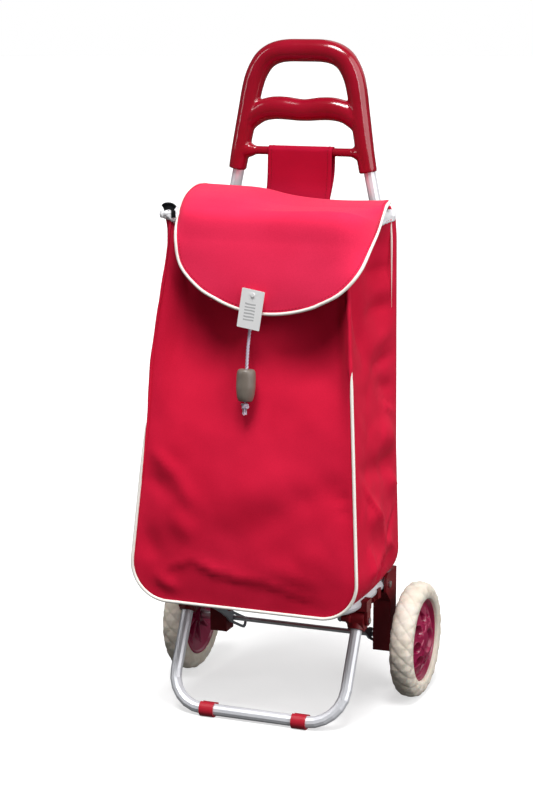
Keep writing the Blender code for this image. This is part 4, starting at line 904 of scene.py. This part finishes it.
def offset_outward(seam, out, forward):
    """The seam's line moved out of the bag's middle and towards its front."""
    corner_z = BAG_BOTTOM_Z + BAG_CORNER
    moved = []
    for x, y, z in seam:
        direction = np.array([math.copysign(1.0, x), 0.0, 0.0])
        if z <= corner_z:
            corner_x = max(0.0, abs(x) - (BAG_FRONT_HALF - BAG_CORNER))
            direction = unit(np.array([math.copysign(corner_x, x), 0.0, min(z - corner_z, -1e-5)]))
        moved.append(np.array([x, y - forward, z]) + direction * out)
    return np.array(moved)


def make_front_piping(seam):
    """White piping round the front's lower part; higher up the cloth folds over it in a red ridge."""
    route = smooth_line(offset_outward(seam, 0.0016, 0.0010)[::2], 420)
    heights = route[:, 2]
    right_side = np.arange(len(route)) < len(route) / 2
    hidden_above = np.where(right_side, PIPING_TOP_RIGHT, PIPING_TOP_LEFT)
    shown = ramp(heights, hidden_above, -0.050)
    radii = PIPING_RADIUS * (0.12 + 0.88 * shown ** 0.6)
    visible = np.where(heights < hidden_above + 0.004)[0]
    first, last = visible[0], visible[-1]
    piping = tube_piece("bag_front_piping", route[first:last + 1], radii[first:last + 1], sides=12)
    bag_piece(piping, PIPING, "piping", "front_piping")
    for side, ridge, inward, thick in (("right", route[:first + 26].copy(), 0.0012, 0.0026),
                                       ("left", route[last - 26:].copy(), 0.0026, 0.0020)):
        ridge[:, 0] -= np.sign(ridge[:, 0]) * inward
        along = np.linspace(0.0, 1.0, len(ridge))
        taper = ramp(1 - along if side == "right" else along, 0.0, 0.22) ** 0.6
        waver = 1.0 + 0.16 * np.sin(along * 19.0) + 0.10 * np.sin(along * 43.0)
        roll = tube_piece(f"seam_ridge_{side}", ridge, thick * (0.12 + 0.88 * taper) * waver, sides=14)
        bag_piece(roll, BAG_RED, "bag")


def make_rear_piping(gusset):
    """White piping down the top of each side, just forward of the bag's rear edge."""
    column = int(REAR_PIPING_AT * (gusset.shape[1] - 1))
    for side, sign in SIDES:
        line = gusset[:, column]
        line = line[(np.sign(line[:, 0]) == sign) & (line[:, 2] > REAR_PIPING_LOW_Z)]
        line = line[np.argsort(-line[:, 2])]
        z = line[:, 2]
        line[:, 0] = sign * ((1 - REAR_PIPING_AT) * front_half(z) + REAR_PIPING_AT * rear_half(z) + 0.0024)
        route = smooth_line(line[::2], 60)
        radii = REAR_PIPING_RADIUS * np.clip(np.linspace(1.0, 0.0, 60) / 0.7, 0.12, 1.0)
        bag_piece(tube_piece(f"bag_rear_piping_{side}", route, radii, sides=10), PIPING, "piping")


# ---------------------------------------------------------------- mouth
def mouth_line(inset, z, corner=0.012):
    """Points round the bag's mouth, from the rear left to the rear right."""
    front = from_axle(float(front_y(z))) + inset
    rear = from_axle(BAG_REAR_Y) - 0.004
    half = float(front_half(z)) - inset
    half_rear = float(rear_half(z)) - inset
    out = half + 0.30 * (half_rear - half) + MOUTH_BULGE
    line = [(-half_rear, rear), (-out, front + 0.32 * (rear - front))]
    line += [(-half - 0.002, front + 2 * corner), (-half, front + corner)]
    line += [(-half + corner * (1 - math.cos(a)), front + corner * (1 - math.sin(a)))
             for a in np.radians((30.0, 60.0))]
    line += [(-half + corner, front), (0.0, front)]
    line += [(-x, y) for x, y in reversed(line[:-1])]
    return smooth_line([(x, y, z) for x, y in line], 220)


def crumpled(points, *waves):
    """A grid of points moved by noise; a wave is its frequency and its reach, or its reach at each column."""
    moved = points.copy()
    for row, column in np.ndindex(*points.shape[:2]):
        spot = Vector(points[row, column])
        for frequency, reach in waves:
            here = np.broadcast_to(reach, points.shape[1])[column]
            moved[row, column] += np.array(noise.noise_vector(spot * frequency)) * here
    return moved


def make_lining():
    """The pale lining, turned out over the hoop and crumpled along its edge."""
    path = mouth_line(0.0040, HOOP_Z)
    inward = -np.cross(frames_along(path)[0], (0.0, 0.0, 1.0))
    inward *= -np.sign(np.sum(inward * (path - path.mean(axis=0)), axis=1))[:, None]
    section = [(0.0150, -0.016), (0.0130, -0.012), (0.0100, -0.006), (0.0065, 0.0030), (0.0020, 0.0062),
               (-0.0030, 0.0058), (-0.0062, 0.0010), (-0.0066, -0.0050), (-0.0060, -0.0080)]
    inside, height = smooth_line(section, 34).T
    points = path[:, None, :] + inward[:, None, :] * inside[:, None]
    points[..., 2] = HOOP_Z + height
    edge = ramp(np.arange(len(height)), 6, 8)
    points = crumpled(points, (130.0, 0.0012 * (0.3 + edge)), (320.0, 0.0006 * edge))
    lining = thicken(grid_piece("mouth_lining_cloth", points), 0.0006, offset=0.0)
    piece(lining, LINING, "frame", "lining", "mouth_lining")


def ribbon(name, path, half_width, thickness):
    """A flat webbing strip along a path of x and z, with its broad face to the front."""
    line = smooth_line(path, 48)
    tangents, _, _ = frames_along(line)
    across = unit(np.cross(tangents, (0.0, 1.0, 0.0)))
    steps = np.linspace(-1.0, 1.0, 9)
    points = line[:, None, :] + across[:, None, :] * steps[None, :, None] * half_width
    points[..., 1] += 0.0008 * np.cos(steps * 2.4)[None, :]
    return thicken(grid_piece(name, points), thickness, offset=0.0)


def make_mouth_loop():
    """A black webbing loop that stands over the left corner of the mouth, and its tail."""
    front = from_axle(float(front_y(HOOP_Z))) - 0.0030
    arch = [(-0.1300, front + 0.004, 0.6835), (-0.1255, front + 0.002, 0.6858), (-0.1205, front, 0.6866),
            (-0.1160, front, 0.6856), (-0.1125, front, 0.6830)]
    tail = [(-0.1130, front - 0.003, 0.6815), (-0.1125, front - 0.004, 0.6775),
            (-0.1122, front - 0.004, 0.6720)]
    arch_piece = ribbon("mouth_loop_webbing", arch, 0.0046, 0.0018)
    loop = joined(arch_piece, ribbon("loop_tail", tail, 0.0028, 0.0018))
    piece(loop, WEBBING, "frame", "black_trim", "mouth_loop")


def make_lining_bunch():
    """The lining's crumpled fold at the left corner of the mouth."""
    front = from_axle(float(front_y(HOOP_Z)))
    route = smooth_line([(-0.1350, front + 0.022, 0.6745), (-0.1330, front + 0.012, 0.6750),
                         (-0.1270, front + 0.003, 0.6755), (-0.1195, front - 0.001, 0.6735),
                         (-0.1130, front - 0.001, 0.6700), (-0.1070, front, 0.6690)], 90)
    swell = 0.0062 * np.sin(np.linspace(0.25, math.pi - 0.15, len(route))) ** 0.5
    sides = 48
    rings = crumpled(tube_points(route, swell, sides), (150.0, 0.0024), (420.0, 0.0007))
    faces = tube_faces(len(rings), sides)
    bunch = mesh_piece("mouth_lining_bunch", rings.reshape(-1, 3), faces, grid_uvs(rings))
    outward_normals(bunch)
    piece(bunch, LINING, "frame", "lining")


# ---------------------------------------------------------------- stitching
def stitch_line(route, normals, pitch=0.0046, length=0.0031, radius=0.00042):
    """Dashes of thread lying on the cloth along a route."""
    steps = run_lengths(route)
    dashes = []
    for start in np.arange(pitch / 2, steps[-1] - length, pitch):
        spots = np.linspace(start, start + length, 4)
        line = between(spots, steps, route)
        line += between(spots, steps, normals) * np.array([-0.0002, 0.00025, 0.00025, -0.0002])[:, None]
        dashes.append(tube_points(line, np.array([0.5, 1.0, 1.0, 0.5]) * radius, STITCH_SIDES))
    return dashes


def stitch_piece(name, dashes):
    points = []
    faces = []
    for rings in dashes:
        faces += tube_faces(len(rings), STITCH_SIDES, first=len(points))
        points += [tuple(point) for point in rings.reshape(-1, 3)]
    return mesh_piece(name, points, faces, [(x, z) for x, _, z in points])


# ---------------------------------------------------------------- flap
FLAP_ROWS = (
    # centre y and z, left edge, right edge, and how sharply the flap turns down at its edges
    (-0.0300, 0.6970, (-0.1330, -0.0300, 0.7030), (0.1327, -0.0300, 0.6900), 13),
    (-0.0750, 0.6975, (-0.1290, -0.0640, 0.7050), (0.1417, -0.0600, 0.6900), 13),
    (-0.1200, 0.6960, (-0.1235, -0.1000, 0.7020), (0.1455, -0.0850, 0.6870), 13),
    (-0.1580, 0.6910, (-0.1175, -0.1380, 0.6905), (0.1475, -0.1080, 0.6745), 13),
    (-0.1870, 0.6790, (-0.1085, -0.1740, 0.6735), (0.1500, -0.1320, 0.6600), 13),
    (-0.1960, 0.6450, (-0.1040, -0.1930, 0.6480), (0.1505, -0.1600, 0.6430), 9),
    (-0.2010, 0.6150, (-0.0950, -0.1988, 0.6130), (0.1440, -0.1890, 0.6130), 5),
    (-0.2045, 0.5850, (-0.0680, -0.2030, 0.5860), (0.1220, -0.2000, 0.5870), 3),
    (-0.2065, 0.5575, (-0.0400, -0.2050, 0.5715), (0.0900, -0.2045, 0.5695), 2),
)
FLAP_REACH = -0.0010          # the cloth stops just inside its piping's middle


def flap_rows(count):
    """The flap's rows, blended smoothly between the given ones."""
    table = np.array([[centre_y, centre_z, *left, *right, sharp] for centre_y, centre_z, left, right, sharp
                      in FLAP_ROWS])
    padded = with_ends(table)
    rows = []
    for place in np.linspace(0.0, len(table) - 1, count):
        index = min(int(place), len(table) - 2)
        rows.append(catmull_rom(*padded[index:index + 4], place - index))
    return rows


def flap_lean(u):
    """The flap's top lies a little higher on its left than on its right."""
    return -0.0025 - 0.0070 * math.tanh((u + 0.20) / 0.22)


def flap_points():
    edge_steps = np.linspace(-1.0, 1.0, 81)
    across = np.sin(edge_steps * math.pi / 2) * 0.45 + edge_steps * 0.55
    rows = []
    for centre_y, centre_z, lx, ly, lz, rx, ry, rz, sharp in flap_rows(97):
        middle = (lx + rx) / 2
        row = []
        for u in across:
            ex, ey, ez = (rx, ry, rz) if u > 0 else (lx, ly, lz)
            bend = abs(u) ** sharp
            level = centre_z + flap_lean(u) * ramp(centre_z, 0.686, 0.010)
            row.append((middle + (ex - middle) * abs(u), from_axle(centre_y + (ey - centre_y) * bend),
                        level + (ez - level) * bend))
        rows.append(row)
    points = np.array(rows)
    down = np.linspace(0.0, 1.0, len(points))[:, None]
    inner = ramp(np.abs(across)[None, :], 1.0, -0.25) * ramp(down, 1.0, -0.2)
    wave = ripple(points[..., 0], points[..., 1] * 0.6 + points[..., 2], 10.0, 4.4)
    points[..., 1] -= 0.0030 * wave * inner * ramp(down, 0.35, 0.2)
    points[..., 2] += 0.0026 * wave * inner * ramp(down, 0.65, -0.2)
    return points


def reach_out(points):
    """Move the flap's side and lower edges by FLAP_REACH, in the cloth's own plane."""
    wide = points.copy()
    for column, beside in ((0, 2), (-1, -3)):
        out = points[:, column] - points[:, beside]
        wide[:, column] += unit(out) * FLAP_REACH
    wide[-1] += unit(points[-1] - points[-3]) * FLAP_REACH
    return wide


def make_flap():
    points = flap_points()
    wide = reach_out(points)
    flap = thicken(grid_piece("flap_cloth", wide, flip=True), 0.0014, offset=0.0)
    # the flap cloth takes the red painted lighter, painted light for the light it catches
    piece(flap, FLAP_RED_PAINTED_LIGHT, "flap", "flap", "flap")
    border = np.concatenate([points[:, 0], points[-1, 1:-1], points[::-1, -1]])
    inside = np.concatenate([points[:, 2], points[-3, 1:-1], points[::-1, -3]])
    route = smooth_line(border, 360)
    inner = smooth_line(inside, 360)
    tangents = unit(np.gradient(route, axis=0))
    out = route - inner
    out = unit(out - tangents * np.sum(out * tangents, axis=1)[:, None])
    piping = tube_piece("flap_edge_piping", smooth_line((route + out * 0.0004)[::6], 420), 0.00225, sides=12)
    piece(piping, PIPING, "flap", "piping", "flap_piping")
    up = np.cross(tangents, out)
    up *= np.sign(-up[:, 1:2] + up[:, 2:3])
    seam = stitch_piece("flap_stitching", stitch_line(route - out * 0.0046 + up * 0.0008, up))
    piece(seam, FLAP_THREAD, "flap", "flap")


# ---------------------------------------------------------------- strap
def make_strap():
    """The broad strap over the crossbar, hemmed down each side and sewn to the bag's back."""
    wrap = CROSSBAR_RADIUS + 0.0016
    loop = [(-0.0345, 0.6480), (-0.0325, 0.6620), (-0.0200, 0.6800), (-0.0110, 0.7000), (-0.0080, 0.7200)]
    loop += [(-wrap * math.cos(a), CROSSBAR_Z + wrap * math.sin(a)) for a in np.radians(range(0, 181, 20))]
    loop += [(0.0040, 0.7200), (-0.0060, 0.6990), (-0.0190, 0.6800), (-0.0300, 0.6600), (-0.0322, 0.6460)]
    line = smooth_line([(0.0, from_axle(y), z) for y, z in loop], 130)
    edges = np.linspace(STRAP_LEFT, STRAP_RIGHT, 33)
    points = np.repeat(line[:, None, :], len(edges), axis=1)
    points[..., 0] = edges[None, :]
    hang = ramp(points[..., 2], CROSSBAR_Z, -0.05)
    points[..., 1] += 0.0016 * hang * ripple(points[..., 0], points[..., 2], 24.0, 6.6)
    points[..., 1] -= 0.0006 * np.cos(points[..., 0] / 0.046 * math.pi) * hang
    strap = thicken(grid_piece("hanging_strap_cloth", points), 0.0016, offset=0.0)
    # the strap cloth takes the red painted darker, painted shade for the weak light on it
    piece(strap, STRAP_RED_PAINTED_SHADE, "frame", "bag", "hanging_strap")
    dashes = []
    normals = unit(np.cross(np.gradient(line, axis=0), (1.0, 0.0, 0.0)))
    normals *= np.sign(normals[len(line) // 2, 2])
    for column in (2, len(edges) - 3):
        dashes += stitch_line(points[:, column] + normals * 0.0009, normals, pitch=0.0042, length=0.0028)
    stitches = piece(stitch_piece("strap_stitching", dashes), THREAD, "frame", "bag")


# ---------------------------------------------------------------- tag
def make_tag():
    """A white swing tag with a hole for its fastener."""
    hole = Vector((0.0107, from_axle(-0.2128), 0.5820))
    right, left = TAG_WIDTH / 2 - TAG_CORNER, -TAG_WIDTH / 2 + TAG_CORNER
    high, low = TAG_ABOVE_HOLE - TAG_CORNER, TAG_ABOVE_HOLE - TAG_HEIGHT + TAG_CORNER
    outline = []
    for x, z, start in ((right, high, 0), (left, high, 90), (left, low, 180), (right, low, 270)):
        outline += [(x + TAG_CORNER * math.cos(a), z + TAG_CORNER * math.sin(a))
                    for a in np.radians(range(start, start + 91, 18))]
    ring = [(TAG_HOLE_RADIUS * math.cos(a), TAG_HOLE_RADIUS * math.sin(a)) for a in full_turn(32)]
    bm = bmesh.new()
    edges = []
    for loop in (outline, ring):
        corners = [bm.verts.new((x, 0.0, z)) for x, z in loop]
        edges += [bm.edges.new((a, b)) for a, b in zip(corners, corners[1:] + corners[:1])]
    bmesh.ops.triangle_fill(bm, use_beauty=True, edges=edges, normal=(0, -1, 0))
    layer = bm.loops.layers.uv.new("metres")
    for face in bm.faces:
        for corner in face.loops:
            place = corner.vert.co
            corner[layer].uv = (place.x + TAG_WIDTH / 2, TAG_ABOVE_HOLE - place.z)
    mesh = bpy.data.meshes.new("swing_tag")
    bm.to_mesh(mesh)
    bm.free()
    tag = link(bpy.data.objects.new("swing_tag", mesh))
    thicken(tag, TAG_THICKNESS, offset=0.0)
    tag.data.transform(Matrix.Translation(hole) @ Matrix.Rotation(TAG_TILT, 4, "Y"))
    piece(tag, CARD, "tag", "tag", "tag")


# ---------------------------------------------------------------- wheels
def on_wheel(sign, out, radius, turns):
    """Points of a wheel's skin from their place out along the axle, their radius and their turn."""
    out, radius, turns = np.broadcast_arrays(sign * out, radius, turns)
    return np.stack([out, AXLE_Y + radius * np.cos(turns), AXLE_Z + radius * np.sin(turns)], axis=2)


def wheel_piece(name, points, material, side, slot, node_name):
    """A piece of a wheel from a grid of points that closes on itself both ways."""
    faces = grid_faces(*points.shape[:2], wrap=True, close=True)
    obj = mesh_piece(name, points.reshape(-1, 3), faces)
    outward_normals(obj)
    return piece(obj, material, f"wheel_{side}", slot, node_name)


def tyre_profile(count):
    """The tyre's section, from bead to bead over the tread: across and radius."""
    half = [(0.0140, 0.0578), (0.0155, 0.0606), (0.0163, 0.0645), (0.0162, 0.0685), (0.0151, 0.0722),
            (0.0130, 0.0755), (0.0100, 0.0779), (0.0064, 0.0793), (0.0030, 0.0799), (0.0, 0.0800)]
    return smooth_line([(-x, radius) for x, radius in half] + half[-2::-1], count)


def make_tyre(side, sign):
    """A foam tyre whose tread is two crossing sets of slanted grooves between low four-sided facets."""
    section = tyre_profile(49)
    middle = len(section) // 2
    tangent = np.gradient(section, axis=0)
    normal = unit(np.stack([-tangent[:, 1], tangent[:, 0]], axis=1))
    normal *= np.sign(normal[middle, 1])
    turns = full_turn(420)[:, None]
    s = np.linspace(-1.0, 1.0, len(section))
    tread = ramp(np.abs(s), 0.86, -0.10)
    phase = TREAD_LOZENGES * turns / (2 * math.pi)
    slant = TREAD_SLANT * s + 0.06 * np.sin(3 * turns) + 0.04 * np.sin(7 * turns + 1.0)
    first, second = phase + slant, phase - slant
    rise = np.minimum(np.abs(first - np.round(first)), np.abs(second - np.round(second)))
    slope = first % 1.0 + second % 1.0 - 1.0
    height = (0.0026 * rise + 0.0005 * slope - 0.0008) * tread
    across = section[:, 0] + normal[:, 0] * height
    radius = np.minimum(section[:, 1] + normal[:, 1] * height, TYRE_RADIUS_MOST)
    points = on_wheel(sign, WHEEL_X + sign * across, radius, turns)
    tyre = wheel_piece(f"foam_tyre_{side}", points, FOAM, side, "tyres", f"tyre_{side}")
    tyre.data.set_sharp_from_angle(angle=math.radians(60))


# radius and distance out from the trolley's middle, from the rim's edge to its bore
RIM_OUTER_FACE = ((0.0575, 0.1772), (0.0568, 0.1788), (0.0552, 0.1790), (0.0542, 0.1776), (0.0525, 0.1742),
                  (0.0510, 0.1734), (0.0490, 0.1741), (0.0440, 0.1764), (0.0360, 0.1800), (0.0280, 0.1832),
                  (0.0200, 0.1850), (0.0160, 0.1848), (0.0120, 0.1800), (0.0040, 0.1785))
RIM_INNER_FACE = ((0.0575, 0.1552), (0.0568, 0.1537), (0.0552, 0.1535), (0.0542, 0.1542), (0.0525, 0.1562),
                  (0.0490, 0.1576), (0.0180, 0.1715), (0.0125, 0.1715), (0.0110, 0.1545), (0.0100, 0.1536),
                  (0.0040, 0.1536))


def nearest_of(count, angle):
    """The angle from the nearest of a number of even places round the wheel."""
    pitch = 2 * math.pi / count
    return (angle / pitch - np.round(angle / pitch)) * pitch


def teardrop(radius, angle):
    """Distance across the nearest hole, 1 on its edge: round inward, with a bent point outward."""
    beside = nearest_of(RIM_HOLES, angle)
    outward = radius * np.cos(beside) - HOLE_RADIUS
    along = radius * np.sin(beside) + 12.0 * np.maximum(outward, 0.0) ** 2
    point = np.clip(outward / 0.0110, 0.0, 1.4)
    return np.hypot(outward / (1 + 0.40 * np.minimum(point, 1.0)), along * (1 + 0.60 * point)) / 0.0080


def make_rim(side, sign):
    """A moulded rim: teardrop hollows round a scalloped boss outside, ribs and a hub tube inside."""
    turns = full_turn(360)
    radius, face = smooth_line(RIM_OUTER_FACE, 110).T[:, :, None]
    gap = teardrop(radius, turns + RIM_TURN)
    face = face - HOLE_DEPTH * ramp(gap, 1.0, -0.10) + 0.0008 * hump(gap, 1.08, 0.07)
    scallop = 0.0235 + 0.0020 * np.cos(RIM_HOLES * (turns + RIM_TURN))
    face = face + 0.0012 * ramp(radius, scallop, -0.0010) * (radius > 0.0160)
    outside = on_wheel(sign, face, radius, turns)

    radius, face = smooth_line(RIM_INNER_FACE, 110).T[:, :, None]
    beside = np.abs(nearest_of(RIM_RIBS, turns)) * radius
    rib = ramp(beside, 0.0022, -0.0009) * (radius > 0.0112) * (radius < 0.0535)
    inside = on_wheel(sign, face + (np.minimum(face, 0.1590) - face) * rib, radius, turns)
    points = np.concatenate([outside[::-1], inside])
    wheel_piece(f"moulded_rim_{side}", points, RIM, side, "rims", f"rim_{side}")


# ---------------------------------------------------------------- handle
def lean_x(z):
    return FRAME_X - UPRIGHT_LEAN * max(0.0, z - UPRIGHT_BEND_Z)


def handle_back(z):
    return AXLE_Y + HANDLE_BACK * max(0.0, z - CROSSBAR_Z) / (HANDLE_TOP_Z - CROSSBAR_Z)


def handle_route():
    """The middle line of the handle's loop, up one leg, round the broad arch and down the other."""
    half = smooth_line(HANDLE_LEG, 60)
    full = [(-x, z) for x, z in half] + [(x, z) for x, z in half[-2::-1]]
    return np.array([(x + HANDLE_SHIFT, handle_back(z), z) for x, z in full])


def make_handle():
    """One glossy moulding of the loop, the curved lower grip and the crossbar, with soft fillets."""
    route = smooth_line(handle_route(), 180)
    swell = ramp(route[:, 2], HANDLE_FOOT_Z, HANDLE_TOP_Z - HANDLE_FOOT_Z)
    loop = tube_piece("handle_moulding", route, 0.0122 + 0.0030 * swell, sides=32)
    half = [(-0.082, -0.0200, 0.0122), (-0.072, -0.0100, 0.0138), (-0.060, -0.0020, 0.0150),
            (-0.044, 0.0020, 0.0156), (-0.026, 0.0022, 0.0156), (-0.010, 0.0006, 0.0151), (0.0, 0.0, 0.0147)]
    x, rise, radius = np.array(half + [(-x, rise, radius) for x, rise, radius in half[-2::-1]]).T
    x = x + HANDLE_SHIFT
    line = smooth_line(np.stack([x, np.full_like(x, handle_back(GRIP_Z)), GRIP_Z + rise], axis=1), 80)
    grip_bar = tube_piece("grip_bar", line, np.interp(line[:, 0], x, radius), sides=28)
    leg = lean_x(CROSSBAR_Z)
    half = [(-leg, 0.0125), (-leg + 0.013, 0.0095), (-leg + 0.020, 0.0060), (0.0, 0.0055)]
    x, radius = np.array(half + [(-x, radius) for x, radius in half[-2::-1]]).T
    line = np.array([(x, AXLE_Y, CROSSBAR_Z) for x in np.linspace(-leg, leg, 90)])
    crossbar = tube_piece("crossbar", line, np.interp(line[:, 0], x, radius), sides=20)
    handle = joined(loop, grip_bar, crossbar)
    remesh = handle.modifiers.new("one_skin", "REMESH")
    remesh.mode = "VOXEL"
    remesh.voxel_size = HANDLE_SKIN
    soften = handle.modifiers.new("fillets", "SMOOTH")
    soften.factor = 0.5
    soften.iterations = 14
    apply_modifiers(handle)
    handle.data.shade_smooth()
    piece(handle, HANDLE, "frame", "handle", "handle")


# ---------------------------------------------------------------- build
noise.seed_set(NOISE_SEED)
make_camera()
make_stage()
dress_nodes()
make_cord()
make_handle()
make_bag()
make_lining()
make_lining_bunch()
make_mouth_loop()
make_flap()
make_strap()
make_tag()
for side_name, side_sign in SIDES:
    make_tyre(side_name, side_sign)
    make_rim(side_name, side_sign)

bpy.context.view_layer.update()
